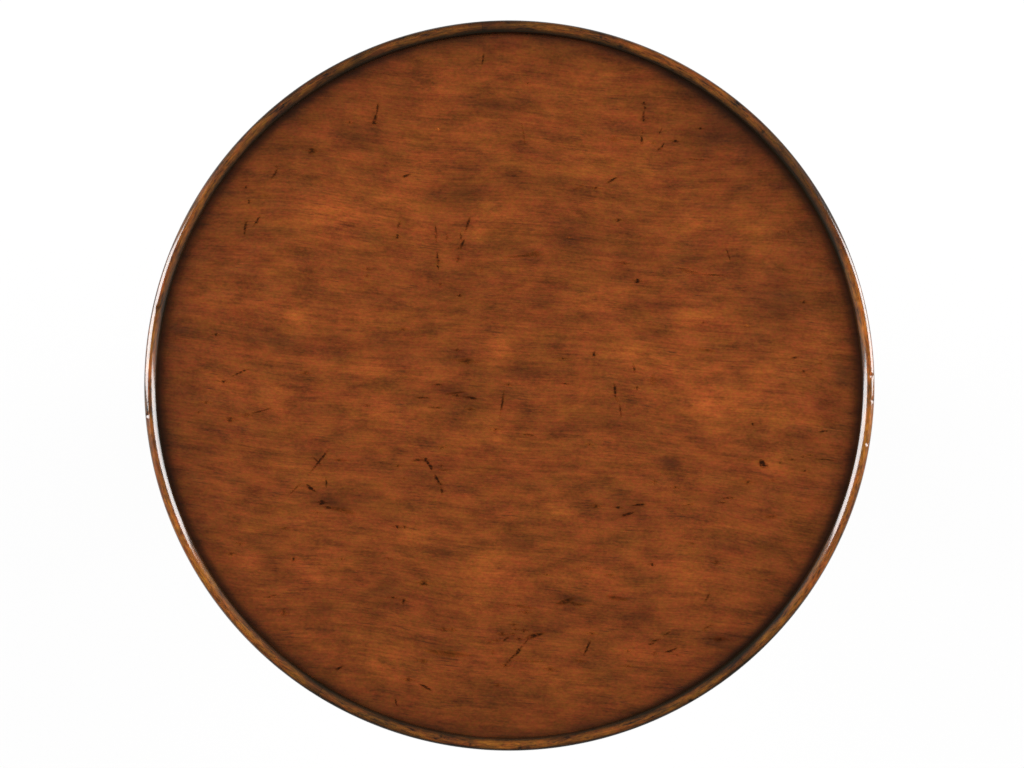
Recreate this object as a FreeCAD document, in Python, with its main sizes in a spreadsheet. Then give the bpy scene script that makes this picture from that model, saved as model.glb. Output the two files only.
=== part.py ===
import FreeCAD, Part
import math
import os
import re

import Sketcher
from FreeCAD import Rotation, Vector

# A tilt-top tea table: a round tray on a revolving birdcage, a turned pillar and three cabriole legs.
# Millimetres, +Z up. The origin is on the floor, on the pillar's axis. The tray's grain runs along X.
# The hinge is on the -Y side of the cage and the catch on the +Y side.

SIZES = {
    # Tray
    "table_height": 711,
    "tray_diameter": 762,
    "rim_width": 12,
    "rim_rise": 14,
    "rim_rounding": 4,
    "rim_foot_rounding": 5,
    "rim_lap": 5,
    "rim_joint_angle": 22.3,
    "core_thickness": 16,
    "veneer_thickness": 1,
    "dowel_radius": 3,
    "dowel_length": 30,
    # Battens under the tray
    "batten_length": 540,
    "batten_width": 28,
    "batten_height": 30,
    "batten_tip_height": 12,
    "batten_taper": 95,
    "batten_play": 1,
    # Birdcage
    "cage_width": 200,
    "cage_top_thickness": 24,
    "cage_gap": 75,
    "cage_bottom_thickness": 20,
    "cage_corner_radius": 16,
    "cage_edge_rounding": 5,
    "baluster_radius": 12.5,
    "baluster_inset": 34,
    "tenon_radius": 8,
    "tenon_length": 14,
    "pin_radius": 7,
    "pin_depth": 32,
    "pin_recess": 1,
    # Catch
    "catch_standoff": 2,
    "case_length": 50,
    "spring_room": 4,
    "case_wall": 1.5,
    "case_flange": 9,
    "bolt_width": 12,
    "bolt_thickness": 6,
    "bolt_length": 46,
    "bolt_travel": 9,
    "bolt_setback": 0.5,
    "knob_radius": 7,
    "knob_length": 18,
    "stem_radius": 3,
    "stem_depth": 4,
    "spring_thickness": 0.6,
    "spring_width": 10,
    "keeper_width": 36,
    "keeper_lip": 2,
    "keeper_thickness": 1.5,
    "keeper_play": 0.5,
    # Pillar
    "pillar_lift": 90,
    "drum_radius": 42,
    "drum_height": 112,
    "drum_chamfer": 3,
    "vase_radius": 46,
    "cap_radius": 36,
    "journal_radius": 19,
    "pivot_radius": 15,
    "pivot_depth": 17,
    "collar_radius": 34,
    "collar_height": 18,
    "wedge_length": 112,
    "wedge_thickness": 12,
    "wedge_thin_height": 12,
    "wedge_thick_height": 20,
    # Legs
    "leg_reach": 250,
    "knee_run": 30,
    "root_depth": 96,
    "root_width": 44,
    "toe_depth": 14,
    "toe_width": 18,
    "toe_level": 10,
    "foot_radius": 30,
    "foot_height": 19,
    "sole_radius": 25,
    "dovetail_depth": 14,
    "dovetail_neck": 16,
    "dovetail_tail": 24,
    "dovetail_height": 86,
    # Iron plate under the leg joints
    "spider_thickness": 3,
    "spider_hub_radius": 27,
    "spider_arm_width": 22,
    # Screws
    "large_screw_radius": 2.4,
    "large_screw_bite": 9,
    "small_screw_radius": 1.5,
    "small_screw_bite": 11,
    "spider_screw_bite": 20,
    # Clearances
    "running_gap": 0.3,
    "slide_gap": 0.2,
    "stop_gap": 0.4,
    "veneer_gap": 0.2,
    "cut_overrun": 2,
}

RIM_SEGMENTS = 5
LEGS = 3

# Bow of an arc: its rise over its chord. A quarter turn and a half turn.
quarter_bow_share = math.tan(math.radians(22.5)) / 2
half_bow_share = 0.5

# Pillar turning above the drum: radius over vase_radius, height over the turning's height, bow.
pillar_shares = [
    (0.84, 0.0, -0.18),
    (0.64, 0.028, 0),
    (0.64, 0.037, 0.088),
    (1.0, 0.165, 0.063),
    (0.76, 0.285, -0.11),
    (0.435, 0.42, 0),
    (0.52, 0.42, half_bow_share),
    (0.52, 0.452, 0),
    (0.46, 0.452, 0),
    (0.46, 0.468, 0.012),
    (0.38, 0.838, 0),
    (0.47, 0.838, half_bow_share),
    (0.47, 0.862, 0),
    (0.41, 0.862, 0),
    (0.41, 0.88, -0.2),
]
cap_neck_share = 0.9
cap_lip_share = 0.95

# Baluster: radius over baluster_radius, height over cage_gap, bow.
baluster_shares = [
    (0.88, 0.0, 0),
    (0.88, 0.1, 0),
    (0.7, 0.1, 0.4),
    (0.7, 0.2, 0),
    (0.52, 0.23, 0.1),
    (1.0, 0.42, 0.057),
    (0.86, 0.52, -0.1),
    (0.5, 0.78, 0),
    (0.68, 0.78, half_bow_share),
    (0.68, 0.86, 0),
    (0.58, 0.88, -0.15),
    (0.88, 0.94, 0),
    (0.88, 1.0, 0),
]

# Leg stations run from the knee (0) to the toe (1) along a smooth S-curve.
leg_station_shares = [0, 0.17, 0.34, 0.51, 0.68, 0.84, 1]
leg_corner_share = 0.32
leg_taper_power = 1.5
leg_root_bury_share = 0.25

collar_step_share = 0.4
collar_neck_share = 0.78
collar_bow_share = -0.15
foot_belly_share = 0.38
foot_side_bow_share = 0.18
foot_top_bow_share = 0.2
knob_belly_share = 0.6
knob_neck_share = 0.25
knob_face_bow_share = 0.2
knob_back_bow_share = 0.1
bolt_tip_share = 0.12
spring_bow_share = 0.085
batten_bow_share = 0.047
spider_arm_share = 0.85
spider_inner_screw_share = 0.65
spider_outer_screw_share = 0.5
case_screw_share = 0.16
keeper_screw_share = 0.35
knob_place_share = 0.6
screw_head_share = 2.0
screw_cone_share = 1.2
dowel_level_share = 0.5

doc = FreeCAD.newDocument("tea_table")
sheet = doc.addObject("Spreadsheet::Sheet", "Sizes")
for row, (alias, value) in enumerate(SIZES.items(), 1):
    sheet.set(f"A{row}", alias)
    sheet.set(f"B{row}", str(value))
    sheet.setAlias(f"B{row}", alias)
doc.recompute()

# Levels and places that several pieces share, worked out from the sizes.
rim_outer = "(tray_diameter / 2)"
rim_inner = "(tray_diameter / 2 - rim_width)"
panel_radius = "(tray_diameter / 2 - rim_width + rim_lap)"
tray_floor = "(table_height - rim_rise)"
core_top = "(table_height - rim_rise - veneer_thickness)"
underside = "(table_height - rim_rise - core_thickness - 2 * veneer_thickness)"
cage_half = "(cage_width / 2)"
top_plate_level = f"({underside} - cage_top_thickness)"
cage_floor = f"({top_plate_level} - cage_gap)"
shoulder = f"({cage_floor} - cage_bottom_thickness)"
hinge_offset = "(cage_width / 2 - cage_top_thickness / 2)"
hinge_level = f"({underside} - cage_top_thickness / 2)"
batten_inner = f"({cage_half} + batten_play)"
drum_top = "(pillar_lift + drum_height)"
collar_top = f"({cage_floor} + collar_height)"
case_depth = "(bolt_thickness + spring_room)"
bolt_level = f"({underside} - {case_depth} + slide_gap)"
case_front = f"({cage_half} + catch_standoff)"
case_inner = "(bolt_width / 2 + slide_gap)"
bolt_front = f"({case_front} + bolt_setback)"
knob_place = f"({bolt_front} + bolt_length * {knob_place_share})"

nodes = []


def formula(text):
    """Spell each size in an expression with the name of the sheet that holds it."""
    return re.sub(r"[a-z_]+", lambda word: "Sizes." + word[0] if word[0] in SIZES else word[0], text)


def bind(item, **expressions):
    """Tie an item's sizes to the sheet."""
    for name, text in expressions.items():
        item.setExpression(name, formula(text))
    return item


def place(item, x="0", y="0", z="0", turn=None, axis=Vector(0, 0, 1)):
    """Tie an item's position, and its turn in degrees about an axis, to the sheet."""
    if turn:
        item.Placement.Rotation = Rotation(axis, 1)
        item.setExpression("Placement.Rotation.Angle", formula(turn))
    for name, text in (("x", x), ("y", y), ("z", z)):
        item.setExpression(f"Placement.Base.{name}", formula(text))
    return item


def name_node(item, label):
    """Make an item one of the table's pieces."""
    item.Label = label
    nodes.append(item)
    return item


def box(label, x, y, z):
    return bind(doc.addObject("Part::Box", label), Length=x, Width=y, Height=z)


def cylinder(label, radius, height):
    return bind(doc.addObject("Part::Cylinder", label), Radius=radius, Height=height)


def group(label, items):
    """Several separate solids, or one solid in a new place, as one item."""
    item = doc.addObject("Part::Compound", label)
    item.Links = items
    return item


def cut(label, base, *tools):
    """Cut each tool from the base in turn."""
    for tool in tools:
        result = doc.addObject("Part::Cut", label + "_cut")
        result.Base = base
        result.Tool = tool
        base = result
    return base


def fuse(label, items):
    item = doc.addObject("Part::MultiFuse", label)
    item.Shapes = items
    return item


def draw(sketch, corners):
    """Draw a closed outline, counter-clockwise, through corners of (x, y, bow of the side that follows).

    Corners are tied to the sheet by their distance from the origin, arcs by a centre worked out from
    their chord and bow. A positive bow swells outwards.
    """
    corners = [(formula(x), formula(y), bow) for x, y, bow in corners]
    points = [Vector(sketch.evalExpression(x), sketch.evalExpression(y), 0) for x, y, bow in corners]
    following = points[1:] + points[:1]
    ends = []
    for (x, y, bow), start, stop in zip(corners, points, following):
        chord = stop - start
        if not bow:
            sketch.addGeometry(Part.LineSegment(start, stop))
            ends.append((1, 2))
            continue
        crown = (start + stop) * 0.5 + Vector(chord.y, -chord.x, 0) * bow
        circle = Part.Arc(start, crown, stop).toShape().Curve
        first, last = (start, stop) if bow > 0 else (stop, start)
        spokes = [point - circle.Center for point in (first, last)]
        angles = [math.atan2(spoke.y, spoke.x) for spoke in spokes]
        if angles[1] < angles[0]:
            angles[1] += 2 * math.pi
        rim = Part.Circle(circle.Center, Vector(0, 0, 1), circle.Radius)
        sketch.addGeometry(Part.ArcOfCircle(rim, *angles))
        ends.append((1, 2) if bow > 0 else (2, 1))
    sides = range(len(corners))
    for side in sides:
        after = (side + 1) % len(corners)
        sketch.addConstraint(Sketcher.Constraint("Coincident", side, ends[side][1], after, ends[after][0]))
    for side in sides:
        x, y, bow = corners[side]
        for kind, text, value in (("DistanceX", x, points[side].x), ("DistanceY", y, points[side].y)):
            number = sketch.addConstraint(Sketcher.Constraint(kind, -1, 1, side, ends[side][0], value))
            sketch.setExpression(f"Constraints[{number}]", text)
        if bow:
            next_x, next_y, next_bow = corners[(side + 1) % len(corners)]
            centre_share = (4 * bow * bow - 1) / (8 * bow)
            chord = following[side] - points[side]
            if abs(chord.y) > abs(chord.x):
                kind = "DistanceX"
                text = f"(({x}) + ({next_x})) / 2 + {centre_share:.8f} * (({next_y}) - ({y}))"
            else:
                kind = "DistanceY"
                text = f"(({y}) + ({next_y})) / 2 - {centre_share:.8f} * (({next_x}) - ({x}))"
            value = sketch.evalExpression(text)
            number = sketch.addConstraint(Sketcher.Constraint(kind, -1, 1, side, 3, value))
            sketch.setExpression(f"Constraints[{number}]", text)


def sketch_in(body, role, corners):
    """A sketch of an outline on one of a body's own origin planes."""
    plane = next(item for item in body.Origin.OriginFeatures if item.Role == role)
    sketch = body.newObject("Sketcher::SketchObject", body.Name + "_sketch")
    sketch.AttachmentSupport = [(plane, "")]
    sketch.MapMode = "FlatFace"
    doc.recompute()
    draw(sketch, corners)
    return sketch


def padded(label, role, corners, length, both_ways=False, reverse=False):
    """A body of one outline, pulled out square to its plane."""
    body = doc.addObject("PartDesign::Body", label)
    pad = body.newObject("PartDesign::Pad", label + "_pad")
    pad.Profile = sketch_in(body, role, corners)
    pad.SideType = "Symmetric" if both_ways else "One side"
    pad.Reversed = reverse
    bind(pad, Length=length)
    return body


def turned(label, corners, angle=360):
    """A body of one outline of (radius, height), turned about the Z axis."""
    body = doc.addObject("PartDesign::Body", label)
    sketch = sketch_in(body, "XZ_Plane", corners)
    revolution = body.newObject("PartDesign::Revolution", label + "_turn")
    revolution.Profile = sketch
    revolution.ReferenceAxis = (sketch, ["V_Axis"])
    revolution.Angle = angle
    return body


def rounded_below(body, radius):
    """Round the edges of a body's lowest flat face."""
    doc.recompute()
    blank = body.Tip
    lowest = min(blank.Shape.Faces, key=lambda face: face.CenterOfMass.z)
    edges = [f"Edge{number}" for number, edge in enumerate(blank.Shape.Edges, 1)
             if any(edge.isSame(side) for side in lowest.Edges)]
    fillet = body.newObject("PartDesign::Fillet", body.Name + "_rounding")
    fillet.Base = (blank, edges)
    bind(fillet, Radius=radius)
    return body


def rounded_rectangle(half_x, half_y, radius):
    """Corners of a rectangle about the origin with quarter-round corners."""
    bow = quarter_bow_share
    x, y = f"({half_x})", f"({half_y})"
    inner_x, inner_y = f"({x} - {radius})", f"({y} - {radius})"
    return [
        (f"-{inner_x}", f"-{y}", 0),
        (inner_x, f"-{y}", bow),
        (x, f"-{inner_y}", 0),
        (x, inner_y, bow),
        (inner_x, y, 0),
        (f"-{inner_x}", y, bow),
        (f"-{x}", inner_y, 0),
        (f"-{x}", f"-{inner_y}", bow),
    ]


def screw_blank(label, radius, length):
    """A countersunk wood screw, head at the origin, pointing up."""
    return turned(label, [
        ("0", "0", 0),
        (f"{screw_head_share} * {radius}", "0", 0),
        (radius, f"{screw_cone_share} * {radius}", 0),
        (radius, f"{length} - 2 * {radius}", 0),
        ("0", length, 0),
    ])


def screws(label, blank, places, turn=None, axis=None):
    """Copies of a screw as one group of separate solids."""
    copies = []
    for number, (x, y, z) in enumerate(places, 1):
        copy = group(f"{label}_{number}", [blank])
        copies.append(place(copy, x, y, z, turn, axis))
    return name_node(group(label, copies), label)


def make_battens():
    """Two bearers with tapered ends, bored for the hinge pins. Returns them with their screws."""
    half = "(batten_length / 2)"
    side = [
        (f"-{half}", "-batten_tip_height", batten_bow_share),
        (f"-({half} - batten_taper)", "-batten_height", 0),
        (f"{half} - batten_taper", "-batten_height", batten_bow_share),
        (half, "-batten_tip_height", 0),
        (half, "0", 0),
        (f"-{half}", "0", 0),
    ]
    blank = screw_blank("batten_screw_blank", "large_screw_radius",
                        "(batten_height + veneer_thickness + large_screw_bite)")
    middle = f"({batten_inner} + batten_width / 2)"
    spacing = f"(({hinge_offset} + {half} - batten_taper) / 2)"
    places = [
        (f"{side} * {middle}", f"{step} * {spacing}", f"{underside} - batten_height")
        for side in (1, -1) for step in (-1, 0, 1)
    ]
    fixings = screws("batten_screws", blank, places)
    starts = {"batten_right": batten_inner, "batten_left": f"-({batten_inner} + batten_width)"}
    for label, start in starts.items():
        body = padded(label + "_blank", "YZ_Plane", side, "batten_width")
        place(body, start, "0", underside)
        bore = cylinder(label + "_bore", "pin_radius + running_gap", "batten_width + 2 * cut_overrun")
        place(bore, f"{start} - cut_overrun", f"-{hinge_offset}", hinge_level, "90", Vector(0, 1, 0))
        name_node(cut(label, body, bore, fixings), label)
    return fixings


def make_catch():
    """A brass sliding catch: a flanged case, a bowed leaf spring, and the bolt with its knob."""
    wall = f"({case_inner} + case_wall)"
    flange = f"({wall} + case_flange)"
    floor = f"({case_depth} + case_wall)"
    hat = [
        (f"-{wall}", f"-{floor}", 0),
        (wall, f"-{floor}", 0),
        (wall, "-case_wall", 0),
        (flange, "-case_wall", 0),
        (flange, "0", 0),
        (case_inner, "0", 0),
        (case_inner, f"-{case_depth}", 0),
        (f"-{case_inner}", f"-{case_depth}", 0),
        (f"-{case_inner}", "0", 0),
        (f"-{flange}", "0", 0),
        (f"-{flange}", "-case_wall", 0),
        (f"-{wall}", "-case_wall", 0),
    ]
    channel = padded("catch_channel", "XZ_Plane", hat, "case_length", reverse=True)
    place(channel, "0", case_front, underside)

    stem_room = "(stem_radius + running_gap)"
    slot = padded("knob_slot", "XY_Plane", [
        (f"-{stem_room}", "-bolt_travel", half_bow_share),
        (stem_room, "-bolt_travel", 0),
        (stem_room, "0", half_bow_share),
        (f"-{stem_room}", "0", 0),
    ], "case_wall + 2 * cut_overrun")
    place(slot, "0", knob_place, f"{underside} - {floor} - cut_overrun")

    blank = screw_blank("catch_screw_blank", "small_screw_radius", "(case_wall + small_screw_bite)")
    across = f"({wall} + case_flange / 2)"
    places = [
        (f"{side} * {across}", f"{case_front} + {share} * case_length", f"{underside} - case_wall")
        for side in (-1, 1) for share in (case_screw_share, 1 - case_screw_share)
    ]
    fixings = screws("catch_screws", blank, places)
    name_node(cut("catch_case", channel, slot, fixings), "catch_case")

    sag = "(spring_room - 2 * slide_gap - spring_thickness)"
    half_span = f"({sag} / {2 * spring_bow_share})"
    spring = padded("catch_spring", "YZ_Plane", [
        (f"-{half_span}", "-spring_thickness", spring_bow_share),
        (half_span, "-spring_thickness", 0),
        (half_span, "0", -spring_bow_share),
        (f"-{half_span}", "0", 0),
    ], "spring_width", both_ways=True)
    place(spring, "0", f"{case_front} + case_length / 2", underside)
    name_node(spring, "catch_spring")

    half_bolt = "(bolt_width / 2)"
    tip = f"({bolt_tip_share} * bolt_width)"
    bar = padded("catch_bar", "XY_Plane", [
        (f"-{half_bolt}", tip, bolt_tip_share),
        (half_bolt, tip, 0),
        (half_bolt, "bolt_length", 0),
        (f"-{half_bolt}", "bolt_length", 0),
    ], "bolt_thickness")
    place(bar, "0", bolt_front, bolt_level)
    knob = turned("catch_knob", [
        ("0", "-knob_length", knob_face_bow_share),
        ("knob_radius", f"-{knob_belly_share} * knob_length", knob_back_bow_share),
        ("stem_radius", f"-{knob_neck_share} * knob_length", 0),
        ("stem_radius", "stem_depth", 0),
        ("0", "stem_depth", 0),
    ])
    place(knob, "0", knob_place, bolt_level)
    name_node(cut("catch_bolt", bar, knob), "catch_bolt")
    name_node(knob, "catch_knob")
    return fixings


def make_tray(fixings):
    """The veneered round panel, and its rim of five curved segments that lap the core, dowelled end to end."""
    face = cylinder("tray_veneer", f"{rim_inner} - veneer_gap", "veneer_thickness")
    name_node(place(face, z=core_top), "tray_veneer")
    layers = {"tray_core": ("core_thickness", f"{underside} + veneer_thickness"),
              "underside_veneer": ("veneer_thickness", underside)}
    for label, (thickness, level) in layers.items():
        disc = place(cylinder(label + "_disc", panel_radius, thickness), z=level)
        name_node(cut(label, disc, *fixings), label)

    section = [
        (panel_radius, underside, 0),
        (f"{rim_outer} - rim_foot_rounding", underside, quarter_bow_share),
        (rim_outer, f"{underside} + rim_foot_rounding", 0),
        (rim_outer, "table_height - rim_rounding", quarter_bow_share),
        (f"{rim_outer} - rim_rounding", "table_height", 0),
        (f"{rim_inner} + rim_rounding", "table_height", quarter_bow_share),
        (rim_inner, "table_height - rim_rounding", 0),
        (rim_inner, core_top, 0),
        (panel_radius, core_top, 0),
    ]
    sweep = 360 / RIM_SEGMENTS
    arc = turned("rim_arc", section, sweep)
    peg = cylinder("rim_peg", "dowel_radius", "dowel_length")
    place(peg, f"{rim_outer} - rim_width / 2", "dowel_length / 2",
          f"{tray_floor} + {dowel_level_share} * rim_rise", "90", Vector(1, 0, 0))
    dowels = []
    for number in range(RIM_SEGMENTS):
        dowel = group(f"rim_dowel_{number + 1}", [peg])
        dowels.append(place(dowel, turn=f"rim_joint_angle + {number * sweep}"))
    for number in range(RIM_SEGMENTS):
        label = f"rim_segment_{number + 1}"
        blank = place(group(label + "_blank", [arc]), turn=f"rim_joint_angle + {number * sweep}")
        joints = (dowels[number], dowels[(number + 1) % RIM_SEGMENTS])
        name_node(cut(label, blank, *joints), label)
    name_node(group("rim_dowels", dowels), "rim_dowels")


def make_cage():
    """Two plates held apart by four turned balusters, with the hinge pins and the catch's keeper."""
    spindle = turned("cage_spindle", [
        ("0", "-tenon_length", 0),
        ("tenon_radius", "-tenon_length", 0),
        ("tenon_radius", "0", 0),
        *[(f"{r} * baluster_radius", f"{h} * cage_gap", bow) for r, h, bow in baluster_shares],
        ("tenon_radius", "cage_gap", 0),
        ("tenon_radius", "cage_gap + tenon_length", 0),
        ("0", "cage_gap + tenon_length", 0),
    ])
    offset = f"({cage_half} - baluster_inset)"
    balusters = []
    for number, (side_x, side_y) in enumerate(((1, 1), (-1, 1), (-1, -1), (1, -1)), 1):
        label = f"cage_baluster_{number}"
        baluster = place(group(label, [spindle]), f"{side_x} * {offset}", f"{side_y} * {offset}", cage_floor)
        balusters.append(name_node(baluster, label))
    tenons = group("cage_tenons", balusters)

    lower = padded("cage_bottom_blank", "XY_Plane",
                   rounded_rectangle(cage_half, cage_half, "cage_corner_radius"), "cage_bottom_thickness")
    place(rounded_below(lower, "cage_edge_rounding"), z=shoulder)
    bearing = cylinder("journal_bore", "journal_radius + running_gap",
                       "cage_bottom_thickness + 2 * cut_overrun")
    place(bearing, z=f"{shoulder} - cut_overrun")
    name_node(cut("cage_bottom_plate", lower, bearing, tenons), "cage_bottom_plate")

    pin_length = "(pin_depth + batten_play + batten_width - pin_recess)"
    starts = {"hinge_pin_right": f"{cage_half} - pin_depth",
              "hinge_pin_left": f"-({cage_half} - pin_depth) - {pin_length}"}
    pins = []
    for label, start in starts.items():
        pin = cylinder(label, "pin_radius", pin_length)
        place(pin, start, f"-{hinge_offset}", hinge_level, "90", Vector(0, 1, 0))
        pins.append(name_node(pin, label))

    slot_x = "(bolt_width / 2 + keeper_play)"
    slot_depth = "(bolt_travel + keeper_play)"
    slot = box("bolt_slot", f"2 * {slot_x}", f"{slot_depth} + cut_overrun",
               "bolt_thickness + 2 * keeper_play")
    place(slot, f"-{slot_x}", f"{cage_half} - {slot_depth}", f"{bolt_level} - keeper_play")
    plate = box("keeper_plate", "keeper_width", "keeper_thickness",
                "bolt_thickness + 2 * keeper_play + 2 * keeper_lip")
    bolt_middle = f"({bolt_level} + bolt_thickness / 2)"
    place(plate, "-keeper_width / 2", f"{cage_half} - keeper_thickness",
          f"{bolt_level} - keeper_play - keeper_lip")
    blank = screw_blank("keeper_screw_blank", "small_screw_radius", "(keeper_thickness + small_screw_bite)")
    places = [(f"{side} * {keeper_screw_share} * keeper_width", cage_half, bolt_middle) for side in (-1, 1)]
    fixings = screws("keeper_screws", blank, places, "90", Vector(1, 0, 0))
    name_node(cut("catch_keeper", plate, slot, fixings), "catch_keeper")

    end = f"({cage_half} - stop_gap)"
    nose = "(cage_top_thickness / 2)"
    upper = padded("cage_top_blank", "YZ_Plane", [
        (f"-{end}", "0", 0),
        (cage_half, "0", 0),
        (cage_half, "cage_top_thickness", 0),
        (f"-({end} - {nose})", "cage_top_thickness", quarter_bow_share),
        (f"-{end}", nose, 0),
    ], "cage_width", both_ways=True)
    place(upper, z=top_plate_level)
    socket = cylinder("pivot_socket", "pivot_radius + running_gap", "pivot_depth + running_gap + cut_overrun")
    place(socket, z=f"{top_plate_level} - cut_overrun")
    solid = cut("cage_top_plate", upper, socket, tenons, group("hinge_pins", pins), plate, slot, fixings)
    name_node(solid, "cage_top_plate")


def make_pedestal():
    """The turned pillar with its collar and wedge, three dovetailed legs and the iron plate below them."""
    neck = "(dovetail_neck / 2)"
    tail = "(dovetail_tail / 2)"
    root = "(drum_radius - dovetail_depth)"
    seat = "(drum_radius + knee_run / 2)"
    key = padded("leg_dovetail", "XY_Plane", [
        (root, f"-{tail}", 0),
        ("drum_radius", f"-{neck}", 0),
        (seat, f"-{neck}", 0),
        (seat, neck, 0),
        ("drum_radius", neck, 0),
        (root, tail, 0),
    ], "dovetail_height")
    place(key, z="pillar_lift")
    turns = [f"{number * 360 / LEGS} - 90" for number in range(LEGS)]
    keys = group("leg_dovetails", [place(group("dovetail_socket", [key]), turn=turn) for turn in turns])

    blank = screw_blank("spider_screw_blank", "large_screw_radius", "(spider_thickness + spider_screw_bite)")
    radii = (f"{spider_inner_screw_share} * spider_hub_radius",
             f"drum_radius + {spider_outer_screw_share} * knee_run")
    level = "pillar_lift - spider_thickness"
    arm_screws = [place(group("spider_arm_screw", [blank]), x=radius, z=level) for radius in radii]
    rows = [place(group("spider_screw_row", arm_screws), turn=turn) for turn in turns]
    fixings = name_node(group("spider_screws", rows), "spider_screws")

    arm, plate = make_spider(turns)
    name_node(cut("spider_plate", plate, fixings), "spider_plate")

    leg = cut("leg_bored", make_leg(key), place(group("spider_arm_seat", [arm]), z=level), arm_screws[1])
    for number, turn in enumerate(turns, 1):
        name_node(place(group(f"leg_{number}", [leg]), turn=turn), f"leg_{number}")

    half = "(wedge_length / 2)"
    wedge = padded("wedge", "XZ_Plane", [
        (f"-{half}", "0", 0),
        (half, "0", 0),
        (half, "wedge_thick_height", 0),
        (f"-{half}", "wedge_thin_height", 0),
    ], "wedge_thickness", both_ways=True)
    name_node(place(wedge, z=collar_top), "wedge")
    bore = "(journal_radius + running_gap)"
    collar = turned("collar", [
        (bore, "0", 0),
        ("collar_radius", "0", 0),
        ("collar_radius", f"{collar_step_share} * collar_height", collar_bow_share),
        (f"{collar_neck_share} * collar_radius", "collar_height", 0),
        (bore, "collar_height", 0),
    ])
    name_node(place(collar, z=cage_floor), "collar")

    rise = f"({shoulder} - {drum_top})"
    journal_end = f"{top_plate_level} - running_gap"
    pivot_end = f"{top_plate_level} + pivot_depth"
    column = turned("pillar_turning", [
        ("0", "pillar_lift", 0),
        ("drum_radius - drum_chamfer", "pillar_lift", 0),
        ("drum_radius", "pillar_lift + drum_chamfer", 0),
        ("drum_radius", drum_top, 0),
        *[(f"{r} * vase_radius", f"{drum_top} + {h} * {rise}", bow) for r, h, bow in pillar_shares],
        (f"{cap_neck_share} * cap_radius", f"{drum_top} + {cap_lip_share} * {rise}", 0),
        ("cap_radius", f"{drum_top} + {cap_lip_share} * {rise}", 0),
        ("cap_radius", shoulder, 0),
        ("journal_radius", shoulder, 0),
        ("journal_radius", journal_end, 0),
        ("pivot_radius", journal_end, 0),
        ("pivot_radius", pivot_end, 0),
        ("0", pivot_end, 0),
    ])
    inner_screws = [place(group("spider_inner_screw", [arm_screws[0]]), turn=turn) for turn in turns]
    name_node(cut("pillar", column, keys, wedge, group("pillar_screws", inner_screws)), "pillar")


def make_spider(turns):
    """A three-armed iron plate, one rounded arm under each leg. Returns an arm along X, and the plate."""
    half = "(spider_arm_width / 2)"
    reach = f"(drum_radius + {spider_arm_share} * knee_run)"
    hub = cylinder("spider_hub", "spider_hub_radius", "spider_thickness")
    arm = padded("spider_arm", "XY_Plane", [
        ("0", f"-{half}", 0),
        (f"{reach} - {half}", f"-{half}", half_bow_share),
        (f"{reach} - {half}", half, 0),
        ("0", half, 0),
    ], "spider_thickness")
    arms = [place(group("spider_arm_copy", [arm]), turn=turn) for turn in turns]
    return arm, place(fuse("spider_blank", [hub, *arms]), z="pillar_lift - spider_thickness")


def make_leg(key):
    """A cabriole leg along +X: a loft down an S-curve, coped to the drum, with its dovetail and pad foot."""
    run = "(leg_reach - knee_run)"
    centre = "(pillar_lift + root_depth / 2)"
    drop = f"({centre} - toe_level)"
    sections = []
    starts = [(0, f"drum_radius - {leg_root_bury_share} * drum_radius")]
    starts += [(along, f"drum_radius + knee_run + {along} * {run}") for along in leg_station_shares]
    for along, reach in starts:
        fall_share = along * along * (3 - 2 * along)
        slope_share = 6 * along * (1 - along)
        width_share = 1 - along ** leg_taper_power
        depth = f"(toe_depth + {width_share ** 2:.6f} * (root_depth - toe_depth))"
        width = f"(toe_width + {width_share:.6f} * (root_width - toe_width))"
        sketch = doc.addObject("Sketcher::SketchObject", "leg_section")
        corner = f"({leg_corner_share} * min({depth}; {width}))"
        draw(sketch, rounded_rectangle(f"{depth} / 2", f"{width} / 2", corner))
        lean = f"90 deg + atan2({slope_share} * {drop}; {run})"
        place(sketch, reach, "0", f"{centre} - {fall_share} * {drop}", lean, Vector(0, 1, 0))
        sections.append(sketch)
    loft = doc.addObject("Part::Loft", "leg_loft")
    loft.Sections = sections
    loft.Solid = True
    drum = place(cylinder("drum_cope", "drum_radius", "drum_height"), z="pillar_lift")
    foot = turned("leg_foot", [
        ("0", "0", 0),
        ("sole_radius", "0", foot_side_bow_share),
        ("foot_radius", f"{foot_belly_share} * foot_height", foot_top_bow_share),
        ("0", "foot_height", 0),
    ])
    place(foot, "drum_radius + leg_reach")
    return fuse("leg_blank", [cut("leg_coped", loft, drum), key, foot])


batten_fixings = make_battens()
catch_fixings = make_catch()
make_tray((batten_fixings, catch_fixings))
make_cage()
make_pedestal()
doc.recompute()

faults = [item.Label for item in doc.Objects if "Invalid" in item.State or "Error" in item.State]
faults += [node.Label for node in nodes if node.Shape.isNull() or not node.Shape.isValid()]
if faults:
    raise RuntimeError("These did not build: " + ", ".join(faults))

os.makedirs("parts", exist_ok=True)
for node in nodes:
    node.Shape.exportStep(f"parts/{node.Label}.step")
    print(node.Label, len(node.Shape.Solids), "solids", round(node.Shape.Volume), "mm3")
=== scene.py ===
# %% [markdown]
# # A tray top tea table
# The table is a round wooden tray with a low rim, on a turning birdcage, a pillar and three legs.
# The construction is already solid and full size, so this lesson only dresses it.
# We load it as a fixed frame and never move or resize its parts.

# %% Load the frame
import math

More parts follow.
